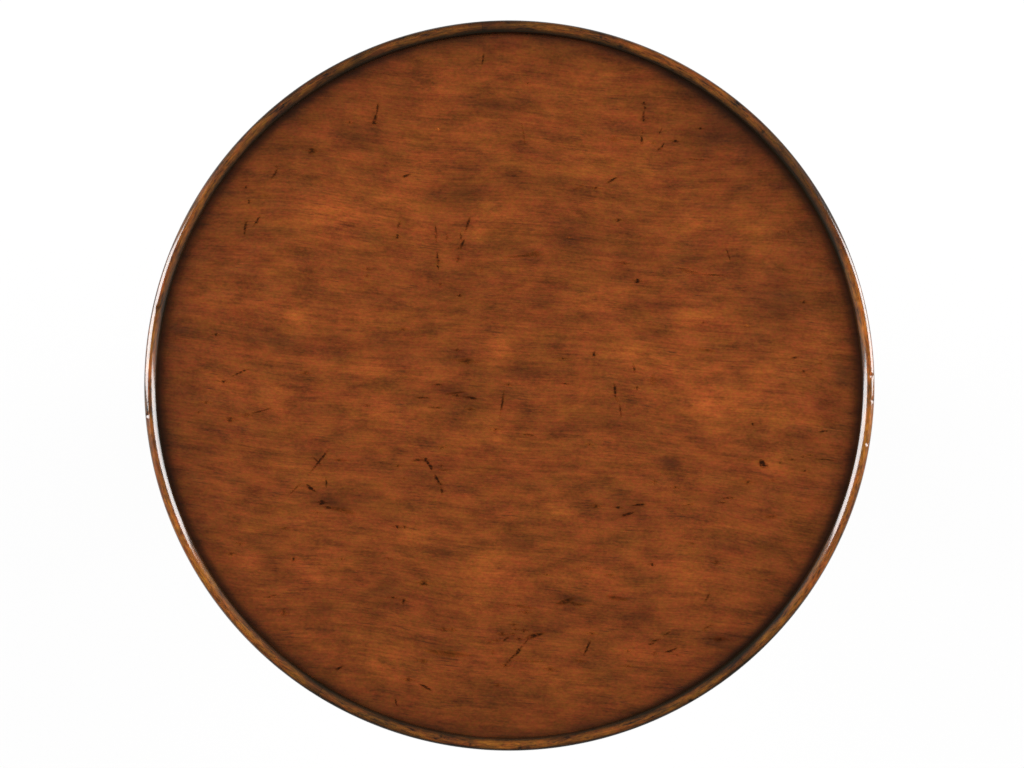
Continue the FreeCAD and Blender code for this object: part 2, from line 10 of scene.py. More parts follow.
import bpy
import numpy as np
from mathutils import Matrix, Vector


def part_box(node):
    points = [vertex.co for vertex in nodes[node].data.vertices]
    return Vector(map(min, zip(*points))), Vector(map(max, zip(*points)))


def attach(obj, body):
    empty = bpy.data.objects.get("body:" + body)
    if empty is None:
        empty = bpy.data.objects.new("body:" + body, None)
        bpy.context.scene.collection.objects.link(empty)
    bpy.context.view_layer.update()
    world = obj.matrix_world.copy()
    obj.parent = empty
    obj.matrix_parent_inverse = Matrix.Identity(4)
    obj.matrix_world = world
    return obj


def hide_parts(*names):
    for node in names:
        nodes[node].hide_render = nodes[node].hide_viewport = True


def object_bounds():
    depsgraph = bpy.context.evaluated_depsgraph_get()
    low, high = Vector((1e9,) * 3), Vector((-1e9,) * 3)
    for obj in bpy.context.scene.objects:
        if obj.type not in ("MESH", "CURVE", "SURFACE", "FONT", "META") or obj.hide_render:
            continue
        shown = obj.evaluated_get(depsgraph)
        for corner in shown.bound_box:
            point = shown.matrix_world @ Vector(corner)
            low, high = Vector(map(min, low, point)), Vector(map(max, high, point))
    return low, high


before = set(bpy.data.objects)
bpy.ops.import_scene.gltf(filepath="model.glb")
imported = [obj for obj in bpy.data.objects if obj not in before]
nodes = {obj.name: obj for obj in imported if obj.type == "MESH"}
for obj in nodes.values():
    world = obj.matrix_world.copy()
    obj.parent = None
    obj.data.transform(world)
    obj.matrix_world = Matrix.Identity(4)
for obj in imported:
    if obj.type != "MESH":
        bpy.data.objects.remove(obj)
cad_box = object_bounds()

# %% [markdown]
# ## Sizes
# Every place here comes from the frame. The tray's floor, rim top and rim radius are read off
# the solids, and only what the boxes can't tell, such as the rim's width, is written in metres.

# %% Read the tray's sizes
MM = 0.001
rim_names = [f"rim_segment_{number}" for number in range(1, 6)]
rim_top = max(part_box(name)[1].z for name in rim_names)
rim_foot = min(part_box(name)[0].z for name in rim_names)
rim_radius = (cad_box[1].x - cad_box[0].x) / 2
rim_width = 12 * MM
rim_inner = rim_radius - rim_width
face_low, face_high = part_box("tray_veneer")
floor_level = face_high.z
face_radius = (face_high.x - face_low.x) / 2
core_low, core_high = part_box("tray_core")
core_radius = (core_high.x - core_low.x) / 2
print(f"tray floor at {floor_level:.3f} m, rim top {rim_top:.3f} m, radius {rim_radius:.4f} m")

# %% [markdown]
# ## The camera, and pixels as places
# The photograph looks straight down at the middle of the tray. We put the camera there, and choose its
# lens so that the rim is as many pixels across as in the photograph. The same numbers then turn any
# pixel that we read off the photograph into a place on the tray's floor.

# %% Camera
photo_size = (1024, 768)
circle_centre = (509.3, 385.5)
circle_radius = 365.2
camera_height = 3.0
sensor_width = 36.0
# the outline that the camera sees is the rim's widest circle, a rounding below its top
rim_rounding = 4 * MM
focal_pixels = circle_radius * (camera_height - rim_top + rim_rounding) / rim_radius
pixel_at_rim = rim_radius / circle_radius

camera_data = bpy.data.cameras.new("camera")
camera_data.sensor_width = sensor_width
camera_data.lens = focal_pixels * sensor_width / photo_size[0]
camera = bpy.data.objects.new("camera", camera_data)
camera.location = (
    (photo_size[0] / 2 - circle_centre[0]) * pixel_at_rim,
    (circle_centre[1] - photo_size[1] / 2) * pixel_at_rim,
    camera_height,
)
bpy.context.scene.collection.objects.link(camera)
bpy.context.scene.camera = camera
print(f"lens {camera_data.lens:.1f} mm, {pixel_at_rim / MM:.3f} mm to a pixel at the rim")

# %% From a pixel to a place
pixel_on_floor = (camera_height - floor_level) / focal_pixels


def on_floor(x, y):
    """Place on the tray's floor of a photograph pixel: its offset from the circle's centre, in metres."""
    right = (np.asarray(x) - circle_centre[0]) * pixel_on_floor
    up = (circle_centre[1] - np.asarray(y)) * pixel_on_floor
    return right, up


print(f"{pixel_on_floor / MM:.3f} mm to a pixel on the floor")

# %% [markdown]
# ## Colours and shader nodes
# Colours are written as a picture editor shows them, and one function turns them into linear light.
# Another adds a shader node with its settings and links, so that a material reads as a list.

# %% Colour and node helpers
def linear(code):
    """An sRGB hex colour as linear light.

    Each channel v becomes ((v + 0.055) / 1.055) ** 2.4, or v / 12.92 where it is dark.
    """
    srgb = np.array([int(code[place:place + 2], 16) for place in (0, 2, 4)]) / 255
    light = np.where(srgb > 0.04045, ((srgb + 0.055) / 1.055) ** 2.4, srgb / 12.92)
    return (*light.tolist(), 1.0)


def add(tree, kind, inputs=None, **settings):
    """Add a shader node, set its properties, and link or fill its inputs."""
    node = tree.nodes.new(kind)
    for label, value in settings.items():
        setattr(node, label, value)
    for label, value in (inputs or {}).items():
        if isinstance(value, bpy.types.NodeSocket):
            tree.links.new(value, node.inputs[label])
        else:
            node.inputs[label].default_value = value
    return node


def new_material(name):
    """An empty material and its node tree, with only the output left in it."""
    material = bpy.data.materials.new(name)
    material.use_nodes = True
    tree = material.node_tree
    for node in list(tree.nodes):
        tree.nodes.remove(node)
    return material, tree, add(tree, "ShaderNodeOutputMaterial")


print("mid grey", linear("808080"))

# %% [markdown]
# ## Cherry wood
# The table is stained cherry under a satin lacquer. Up close the eye reads in such wood:
# long soft streaks along the grain, finer fibres and lines, slow clouds where the stain took unevenly, a
# drift between a redder and a more golden brown with small flecks in it, short dark pores that come in
# patches, and a sheen that is a little uneven. Each is one noise pattern, stretched along the grain,
# with the length and width of its spots in millimetres. The grain runs along the pattern's X, and a
# turn lays it along any piece: the sheet of the tray, a leg sawn on the slant, or the rim, which reads
# its own UV map. In the tray's sheet it also swings slowly from side to side.

# %% Grain patterns
# length mm, width mm, detail, value where the noise is low, value where it is high
face_grain = {
    "streak": (40, 4.8, 4, -0.16, 0.16),
    "fibre": (4, 2.1, 3, -0.2, 0.2),
    "line": (80, 1.1, 3, -0.2, 0.08),
    "cloud": (34, 17, 2.5, -0.3, 0.3),
    "drift": (44, 18, 3, 0.25, 0.85),
    "fleck": (3.6, 2.2, 1, -0.38, 0.38),
    "pore": (20, 1.3, 1, 0.8, -3.4),
    "patch": (36, 22, 2, -1.5, 0.7),
    "sheen": (30, 12, 2, -0.04, 0.04),
}
rim_grain = {
    "streak": (22, 3.4, 4, -0.6, 0.6),
    "fibre": (7, 1.8, 3, -0.44, 0.44),
    "line": (40, 1, 1, -0.18, 0.14),
    "cloud": (44, 20, 4, -0.6, 0.6),
    "drift": (40, 8, 3, 0, 1),
    "fleck": (6, 3, 2, -0.3, 0.3),
    "pore": (9, 1.3, 1, 1.2, -4),
    "patch": (30, 10, 2, -1.2, 0.8),
    "sheen": (30, 12, 2, -0.04, 0.04),
}
frame_grain = {
    "streak": (80, 6, 4, -0.32, 0.32),
    "fibre": (20, 2.2, 3, -0.2, 0.2),
    "line": (70, 1.6, 2, -0.16, 0.1),
    "cloud": (60, 26, 3, -0.26, 0.26),
    "drift": (70, 22, 3, 0, 1),
    "fleck": (7, 3.4, 2, -0.4, 0.4),
    "pore": (9, 1.4, 1, 1.2, -4),
    "patch": (40, 22, 2, -1, 1),
    "sheen": (30, 12, 2, -0.06, 0.06),
}
print(len(face_grain), "patterns")

# %% Grain as shader nodes
# most of a noise lies in this part of its range
noise_span = {"From Min": 0.3, "From Max": 0.7}
noise_character = {"Roughness": 0.6, "Distortion": 0.25}
swing_length = 160 * MM


def grain_values(tree, where, turn, swing, grain):
    """One noise for each pattern of a grain, spread over the values that the pattern gives.

    The place is turned along the grain. Where the grain swings, a slow noise shifts it across the grain by
    up to so many millimetres. For each pattern it is then divided by the length and the width.
    """
    turned = add(tree, "ShaderNodeMapping", {"Vector": where, "Rotation": turn}).outputs["Vector"]
    if swing:
        slow = add(tree, "ShaderNodeTexNoise", {"Vector": turned, "Scale": 1 / swing_length, "Detail": 0.0})
        shift = add(tree, "ShaderNodeMapRange", {
            "Value": slow.outputs["Fac"], **noise_span,
            "To Min": -swing * MM, "To Max": swing * MM}, clamp=False)
        across = add(tree, "ShaderNodeCombineXYZ", {"Y": shift.outputs["Result"]})
        turned = add(tree, "ShaderNodeVectorMath", {
            0: turned, 1: across.outputs["Vector"]}, operation="ADD").outputs["Vector"]
    value = {}
    for label, (length, width, detail, low, high) in grain.items():
        scale = [1 / (size * MM) for size in (length, width, width)]
        spread = add(tree, "ShaderNodeVectorMath", {0: turned, 1: scale}, operation="MULTIPLY")
        noise = add(tree, "ShaderNodeTexNoise", {
            "Vector": spread.outputs["Vector"], "Scale": 1.0, "Detail": detail, **noise_character})
        value[label] = add(tree, "ShaderNodeMapRange", {
            "Value": noise.outputs["Fac"], **noise_span, "To Min": low, "To Max": high}).outputs["Result"]
    return value


print("a grain swings over", swing_length, "m")

# %% [markdown]
# Stain and glaze make the wood lighter or darker than its own brown, and so do painted shade and painted
# highlights; together we call this its tone. The tray brings its tone point by point, because we shape it
# ourselves. The pieces below it find theirs by their form: painted shade, partly glaze, darkens their
# hollows, and hands rub edges lighter.

# %% Tone as shader nodes
wax_unevenness = 1.6
# painted shade, partly glaze, gathers in hollows within this reach
hollow_reach = 18 * MM
edge_reach = 3 * MM
# how open a point is, and the tone that this gives it
hollow_span = {"From Min": 0.35, "From Max": 0.95, "To Min": -0.9, "To Max": 0}
edge_span = {"From Min": 0.5, "From Max": 1, "To Min": 0.6, "To Max": 0}


def brought_tone(tree, fleck, waxed):
    """The tone that a piece brings as an attribute, less its wax.

    The depth of the wax is another attribute. It lies unevenly: wax * (1 + unevenness * fleck).
    """
    tone = add(tree, "ShaderNodeAttribute", attribute_name="tone").outputs["Fac"]
    if not waxed:
        return tone
    wax = add(tree, "ShaderNodeAttribute", attribute_name="wax").outputs["Fac"]
    uneven = add(tree, "ShaderNodeMath", {
        0: fleck, 1: wax_unevenness, 2: 1.0}, operation="MULTIPLY_ADD").outputs["Value"]
    depth = add(tree, "ShaderNodeMath", {0: wax, 1: uneven}, operation="MULTIPLY").outputs["Value"]
    return add(tree, "ShaderNodeMath", {0: tone, 1: depth}, operation="SUBTRACT").outputs["Value"]


def hollow_shade_and_wear_tone(tree):
    """Tone found by form: painted shade, partly glaze, where the piece shades itself; lighter at thin edges.
    """
    hollow = add(tree, "ShaderNodeAmbientOcclusion", {"Distance": hollow_reach}, samples=8, only_local=True)
    glaze_and_shade = add(tree, "ShaderNodeMapRange", {"Value": hollow.outputs["AO"], **hollow_span})
    edge = add(tree, "ShaderNodeAmbientOcclusion", {
        "Distance": edge_reach}, samples=8, only_local=True, inside=True)
    rubbed = add(tree, "ShaderNodeMapRange", {"Value": edge.outputs["AO"], **edge_span})
    return add(tree, "ShaderNodeMath", {
        0: glaze_and_shade.outputs["Result"], 1: rubbed.outputs["Result"]}, operation="ADD").outputs["Value"]


print("glaze gathers within", hollow_reach, "m")

# %% Cherry
pore_share = 0.4
relief_height = 0.2 * MM
# the dark's share of the colour falls from its most to nothing between these tones
deep_span = {"From Min": -1.1, "From Max": -0.25, "To Min": 0.9, "To Max": 0}
lacquer_film = {"IOR": 1.45, "Coat Roughness": 0.1, "Coat IOR": 1.6}


def cherry(name, browns, grain, turn=(0, 0, 0), swing=0.0, along_uv=False, toned=False, waxed=False,
           aged=False, relief=0.12, roughness=0.4, shine=0.5, coat=0.0):
    """Stained cherry. Its browns are a red one, a golden one, and the dark of pores, deepest stain and
    painted shade.

    Colour = brown * grain * (1 + tone), mixed towards the dark one as the tone falls. There the coat of
    lacquer fades too, because glaze is dull. Pores are dark, and sunk under the fibres.
    """
    red, gold, dark = [linear(code) for code in browns]
    material, tree, output = new_material(name)
    where = add(tree, "ShaderNodeTexCoord").outputs["UV" if along_uv else "Object"]
    value = grain_values(tree, where, turn, swing, grain)
    hue = add(tree, "ShaderNodeMath", {0: value["drift"], 1: value["fleck"]}, operation="ADD")
    base = add(tree, "ShaderNodeMixRGB", {"Fac": hue.outputs["Value"], "Color1": red, "Color2": gold})
    shade = 1.0
    for label in ("streak", "fibre", "line", "cloud"):
        shade = add(tree, "ShaderNodeMath", {0: shade, 1: value[label]}, operation="ADD").outputs["Value"]
    stained = add(tree, "ShaderNodeVectorMath", {
        0: base.outputs["Color"], "Scale": shade}, operation="SCALE").outputs["Vector"]
    tone = None
    if toned:
        tone = brought_tone(tree, value["fleck"], waxed)
    # painted shade in the piece's hollows from ambient occlusion, partly glaze, and edges rubbed lighter
    if aged:
        tone = hollow_shade_and_wear_tone(tree)
    coat_weight = coat
    # the tone holds stain and glaze and also painted shade and painted highlight
    if tone is not None:
        light = add(tree, "ShaderNodeMath", {0: 1.0, 1: tone}, operation="ADD").outputs["Value"]
        light = add(tree, "ShaderNodeMath", {0: light, 1: 0.0}, operation="MAXIMUM").outputs["Value"]
        lit = add(tree, "ShaderNodeVectorMath", {0: stained, "Scale": light}, operation="SCALE")
        deep = add(tree, "ShaderNodeMapRange", {"Value": tone, **deep_span}).outputs["Result"]
        stained = add(tree, "ShaderNodeMixRGB", {
            "Fac": deep, "Color1": lit.outputs["Vector"], "Color2": dark}).outputs["Color"]
        if coat:
            coat_weight = add(tree, "ShaderNodeMath", {
                0: deep, 1: -coat, 2: coat}, operation="MULTIPLY_ADD").outputs["Value"]
    open_pores = add(tree, "ShaderNodeMath", {0: value["pore"], 1: value["patch"]}, operation="ADD")
    pores = add(tree, "ShaderNodeMath", {
        0: open_pores.outputs["Value"], 1: pore_share}, operation="MULTIPLY", use_clamp=True).outputs["Value"]
    colour = add(tree, "ShaderNodeMixRGB", {"Fac": pores, "Color1": stained, "Color2": dark})

    height = add(tree, "ShaderNodeMath", {0: value["fibre"], 1: pores}, operation="SUBTRACT")
    bump = add(tree, "ShaderNodeBump", {
        "Height": height.outputs["Value"], "Strength": relief, "Distance": relief_height})
    gloss = add(tree, "ShaderNodeMath", {0: value["sheen"], 1: roughness}, operation="ADD")
    lacquer = add(tree, "ShaderNodeBsdfPrincipled", {
        "Base Color": colour.outputs["Color"], "Roughness": gloss.outputs["Value"],
        "Normal": bump.outputs["Normal"], "Specular IOR Level": shine, "Coat Weight": coat_weight,
        **lacquer_film})
    tree.links.new(lacquer.outputs["BSDF"], output.inputs["Surface"])
    return material


# the tray's grain falls to the right, and swings by some millimetres about that
face_lie = {"turn": (0, 0, math.radians(5)), "swing": 4.5}
face_cherry = cherry(
    "stained_cherry_face", ("7d3717", "743e14", "26170e"), face_grain, toned=True, roughness=0.22, **face_lie)
print("made", face_cherry.name)

# %% [markdown]
# ## From a grid of points to a piece
# A shape here is always a grid of points: rows along it, columns round it. One function turns such a
# grid into a closed mesh, and another lets it ride on a body of the table, in its finish.

# %% Grid and piece helpers
crease_degrees = 35


def grid_mesh(name, points, uv=None, **values):
    """A mesh from rows x columns of points, or from a stack of such grids.

    Columns close into a loop, and end rows close onto their middle. uv holds one pair more per row than
    there are columns, so that the pattern doesn't jump at the seam.
    """
    stack = points if points.ndim == 4 else points[None]
    copies, rows, columns = stack.shape[:3]
    across = np.arange(columns)
    beside = (across + 1) % columns
    copy = np.arange(copies)[:, None]
    start = (copy * rows + np.arange(rows - 1))[..., None] * columns
    above = start + columns
    quads = np.stack([start + across, start + beside, above + beside, above + across], -1)
    places = stack.reshape(-1, 3)
    faces = quads.reshape(-1, 4).tolist()
    first = copy * rows * columns
    last = first + (rows - 1) * columns
    middle = len(places) + 2 * copy + 0 * across
    faces += np.stack([first + beside, first + across, middle], -1).reshape(-1, 3).tolist()
    faces += np.stack([last + across, last + beside, middle + 1], -1).reshape(-1, 3).tolist()
    places = np.concatenate([places, stack[:, [0, -1]].mean(2).reshape(-1, 3)])
    mesh = bpy.data.meshes.new(name)
    mesh.from_pydata(places.tolist(), [], faces)
    if uv is not None:
        corners = [uv[:-1, :-1], uv[:-1, 1:], uv[1:, 1:], uv[1:, :-1]]
        loops = np.zeros((len(mesh.loops), 2), np.float32)
        loops[:quads.size] = np.stack(corners, 2).reshape(-1, 2)
        mesh.uv_layers.new(name="UVMap").data.foreach_set("uv", loops.ravel())
    for label, value in values.items():
        full = np.broadcast_to(value, stack.shape[:3])
        flat = np.concatenate([full.ravel(), full[:, [0, -1]].mean(2).ravel()])
        data = mesh.attributes.new(label, "FLOAT", "POINT").data
        data.foreach_set("value", flat.astype(np.float32))
    mesh.shade_smooth()
    mesh.set_sharp_from_angle(angle=math.radians(crease_degrees))
    return mesh


def piece(name, mesh, body, slot, material, *stands_for):
    """An object for a mesh, riding on a body, with its finish and the solids that it stands for."""
    thing = bpy.data.objects.new(name, mesh)
    bpy.context.scene.collection.objects.link(thing)
    mesh.materials.append(material)
    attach(thing, body)
    if stands_for:
        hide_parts(*stands_for)
    print(name, len(mesh.polygons), "faces")


print("edges stay sharp over", crease_degrees, "degrees")

# %% [markdown]
# ## The tray's floor
# The floor is one sheet of cherry veneer. Its solid is a plain disc, so we make a finer disc in the same
# place: rings and spokes, over the top, round the edge and back underneath. Each point gets a tone: the
# slow light and dark clouds that the eye finds in the photograph, and a dark band where the floor meets
# the rim, partly glaze and partly painted shade of the rim. A cloud is a soft oval along the grain, placed
# and sized in pixels.

# %% Clouds read off the photograph
# x, y, half length along the grain, half height, strength
clouds = [
    (437, 88, 18, 12, 0.3), (335, 212, 28, 15, 0.45), (398, 204, 24, 13, 0.42), (424, 228, 12, 14, 0.25),
    (500, 212, 24, 11, 0.42), (478, 232, 12, 13, 0.3), (586, 160, 22, 18, 0.28), (612, 76, 30, 12, 0.22),
    (694, 222, 22, 10, 0.33), (640, 165, 14, 18, 0.2), (415, 160, 26, 20, 0.18), (760, 232, 12, 11, 0.25),
    (295, 316, 20, 10, 0.45), (222, 298, 32, 12, 0.25), (358, 318, 28, 9, 0.28), (385, 371, 40, 8, 0.3),
    (500, 345, 16, 15, 0.4), (590, 300, 34, 16, 0.25), (692, 320, 30, 14, 0.45), (632, 354, 32, 11, 0.45),
    (690, 369, 22, 9, 0.42), (780, 370, 24, 13, 0.4), (822, 345, 16, 20, 0.35), (708, 405, 30, 14, 0.6),
    (775, 417, 44, 12, 0.3), (278, 402, 14, 12, 0.4), (385, 412, 32, 14, 0.3), (235, 387, 30, 10, 0.18),
    (310, 475, 20, 9, 0.36), (495, 432, 26, 14, 0.3), (605, 450, 26, 12, 0.22), (776, 461, 12, 13, 0.4),
    (665, 485, 14, 11, 0.22), (315, 520, 34, 10, 0.22), (412, 538, 26, 14, 0.3), (250, 565, 13, 12, 0.35),
    (318, 570, 18, 12, 0.36), (488, 575, 30, 20, 0.42), (475, 606, 18, 12, 0.3), (585, 580, 26, 8, 0.33),
    (690, 570, 22, 24, 0.24), (560, 512, 24, 12, 0.22), (390, 660, 30, 14, 0.26), (640, 658, 20, 10, 0.27),
    (555, 683, 24, 8, 0.2),
    (362, 137, 28, 16, -0.3), (310, 150, 10, 12, -0.25), (408, 95, 14, 18, -0.2), (495, 106, 26, 8, -0.36),
    (460, 195, 34, 12, -0.18), (645, 107, 12, 8, -0.3), (702, 142, 34, 22, -0.28), (740, 185, 20, 14, -0.2),
    (553, 182, 24, 9, -0.2), (582, 237, 32, 12, -0.2), (525, 254, 18, 7, -0.3), (630, 260, 20, 12, -0.22),
    (705, 258, 26, 11, -0.22), (775, 300, 30, 24, -0.24), (460, 295, 26, 16, -0.2), (545, 305, 14, 16, -0.25),
    (660, 307, 16, 12, -0.22), (190, 331, 18, 7, -0.28), (262, 340, 40, 8, -0.34), (332, 337, 16, 11, -0.24),
    (388, 345, 26, 9, -0.22), (466, 358, 14, 10, -0.2), (518, 373, 22, 7, -0.3), (450, 391, 30, 8, -0.22),
    (205, 440, 18, 30, -0.2), (318, 457, 9, 10, -0.36), (333, 503, 24, 8, -0.34), (430, 470, 15, 14, -0.22),
    (602, 419, 36, 11, -0.25), (670, 464, 14, 9, -0.48), (805, 440, 16, 9, -0.22), (622, 506, 26, 13, -0.28),
    (270, 556, 18, 12, -0.25), (445, 553, 13, 10, -0.32), (520, 545, 18, 8, -0.28), (385, 590, 24, 9, -0.28),
    (325, 609, 18, 11, -0.28), (770, 548, 16, 14, -0.25), (720, 555, 16, 9, -0.25), (565, 598, 18, 7, -0.33),
    (535, 630, 18, 8, -0.27), (440, 648, 22, 7, -0.28), (640, 615, 22, 14, -0.22), (505, 692, 50, 13, -0.22),
    (715, 395, 75, 26, 0.2), (650, 350, 60, 18, 0.1), (340, 216, 46, 28, 0.16), (488, 572, 40, 26, 0.1),
    (464, 190, 28, 22, -0.14), (784, 302, 30, 30, -0.14), (594, 236, 60, 18, -0.1), (464, 392, 50, 22, -0.12),
    (842, 372, 12, 10, -0.3), (823, 405, 14, 9, -0.2), (717, 641, 16, 8, -0.22), (612, 675, 16, 6, -0.2),
    (290, 363, 50, 6, 0.16), (475, 379, 50, 6, 0.16), (560, 387, 60, 7, 0.12),
    (420, 600, 80, 30, -0.08), (590, 615, 80, 26, -0.1), (330, 495, 60, 26, -0.08),
]
print(len(clouds), "clouds")

# %% Glaze, stain and painted shade by the rim
# the dark band by the rim is partly glaze and partly painted shade of the rim, and so is the wider stain
rim_glaze_and_shade_depth = 0.4
rim_glaze_and_shade_width = 5.0 * MM
rim_stain_and_shade_depth = 0.34
rim_stain_and_shade_reach = 28 * MM
# angle and half width in degrees of the stretches where the glaze and painted shade are thinner, and by how
# much
thin_glaze_and_shade = [(240, 20, 0.6), (92, 22, 0.65), (274, 18, 0.6)]
# the same for the wider stain and painted shade, which is deeper where the strength is below zero
thin_stain_and_shade = [
    (0, 45, 0.3), (180, 45, 0.3), (90, 40, -0.1), (270, 40, -0.1), (50, 14, -0.45), (124, 14, -0.15),
    (188, 10, -0.4), (308, 10, -0.15), (330, 14, -0.2),
]
print("glaze_and_shade", rim_glaze_and_shade_width, "m, stain", rim_stain_and_shade_reach, "m")


def swells(angle, stretches):
    """Sum over the stretches of strength * exp(-(turn from its angle / half width)^2), all in degrees."""
    table = np.array(stretches)
    around = (np.degrees(angle)[..., None] - table[:, 0] + 180) % 360 - 180
    return (table[:, 2] * np.exp(-(around / table[:, 1]) ** 2)).sum(-1)


def tone_at(x, y):
    """Sum of the clouds, less the glaze and the stain by the rim, both partly painted shade of the rim.

    A cloud is strength * exp(-(u / length)^2 - (v / height)^2), with u along the grain and v across it from
    its middle. The glaze falls off with the distance d from the rim as exp(-(d / width)^2), over a wider
    stain that falls off as exp(-(d / reach)^1.5).
    """
    table = np.array(clouds)
    centre_x, centre_y = on_floor(table[:, 0], table[:, 1])
    half = table[:, 2:4] * pixel_on_floor
    lie = face_lie["turn"][2]
    right, up = x[..., None] - centre_x, y[..., None] - centre_y
    along = right * math.cos(lie) - up * math.sin(lie)
    across = right * math.sin(lie) + up * math.cos(lie)
    spread = (along / half[:, 0]) ** 2 + (across / half[:, 1]) ** 2
    tone = (np.exp(-spread) * table[:, 4]).sum(-1)
    gap = np.clip(rim_inner - np.hypot(x, y), 0, None)
    angle = np.arctan2(y, x)
    # painted shade of the rim's wall, with glaze, darkens the floor close to the rim and more widely
    glaze_and_shade = rim_glaze_and_shade_depth * (1 - swells(angle, thin_glaze_and_shade)) * np.exp(-(gap / rim_glaze_and_shade_width) ** 2)
    stain_and_shade = rim_stain_and_shade_depth * (1 - swells(angle, thin_stain_and_shade)) * np.exp(-(gap / rim_stain_and_shade_reach) ** 1.5)
    return tone - glaze_and_shade - stain_and_shade


# %% The floor's disc
spokes = 520
rings = 156
rings_in_glaze_and_shade = 16
first_ring = face_radius / 150
glaze_and_shade_band = 2 * rim_glaze_and_shade_width
rim_clearance = 0.02 * MM
ripple_height = 0.03 * MM
ripple_along = 31 * MM
ripple_across = 23 * MM
ripple_bend = 83 * MM
worn_depth = 0.05 * MM
worn_fade = 20 * MM


def face_disc():
    """A disc turned about the upright axis: radius r along the row, angle a along the column.

    A point is (r cos a, r sin a, z). z is the floor's level, worn by a few hundredths of a millimetre with
    a ripple that hand sanding leaves, both fading out by the rim. The last two rows are the sheet's edge
    and underside.
    """
    angle = np.linspace(0, 2 * math.pi, spokes, endpoint=False)
    radius = np.concatenate([
        np.linspace(first_ring, rim_inner - glaze_and_shade_band, rings),
        np.linspace(rim_inner - 0.9 * glaze_and_shade_band, rim_inner - rim_clearance, rings_in_glaze_and_shade),
    ])
    radii = np.concatenate([radius, [face_radius, radius[0]]])[:, None]
    x, y = radii * np.cos(angle), radii * np.sin(angle)
    gap = np.clip(rim_inner - radii, 0, None)
    wave = np.sin(x / ripple_along + 2 * np.sin(y / ripple_bend)) * np.sin(y / ripple_across)
    fade = np.clip(gap / worn_fade, 0, 1)
    height = floor_level + (ripple_height * wave - worn_depth) * fade
    height[len(radius):] = face_low.z
    points = np.stack([x, y, height], -1)
    return points[::-1], tone_at(x, y)[::-1]


points, tone = face_disc()
face_mesh = grid_mesh("tray_face", points, tone=tone)
piece("tray_face", face_mesh, "top", "cherry_face", face_cherry, "tray_veneer")
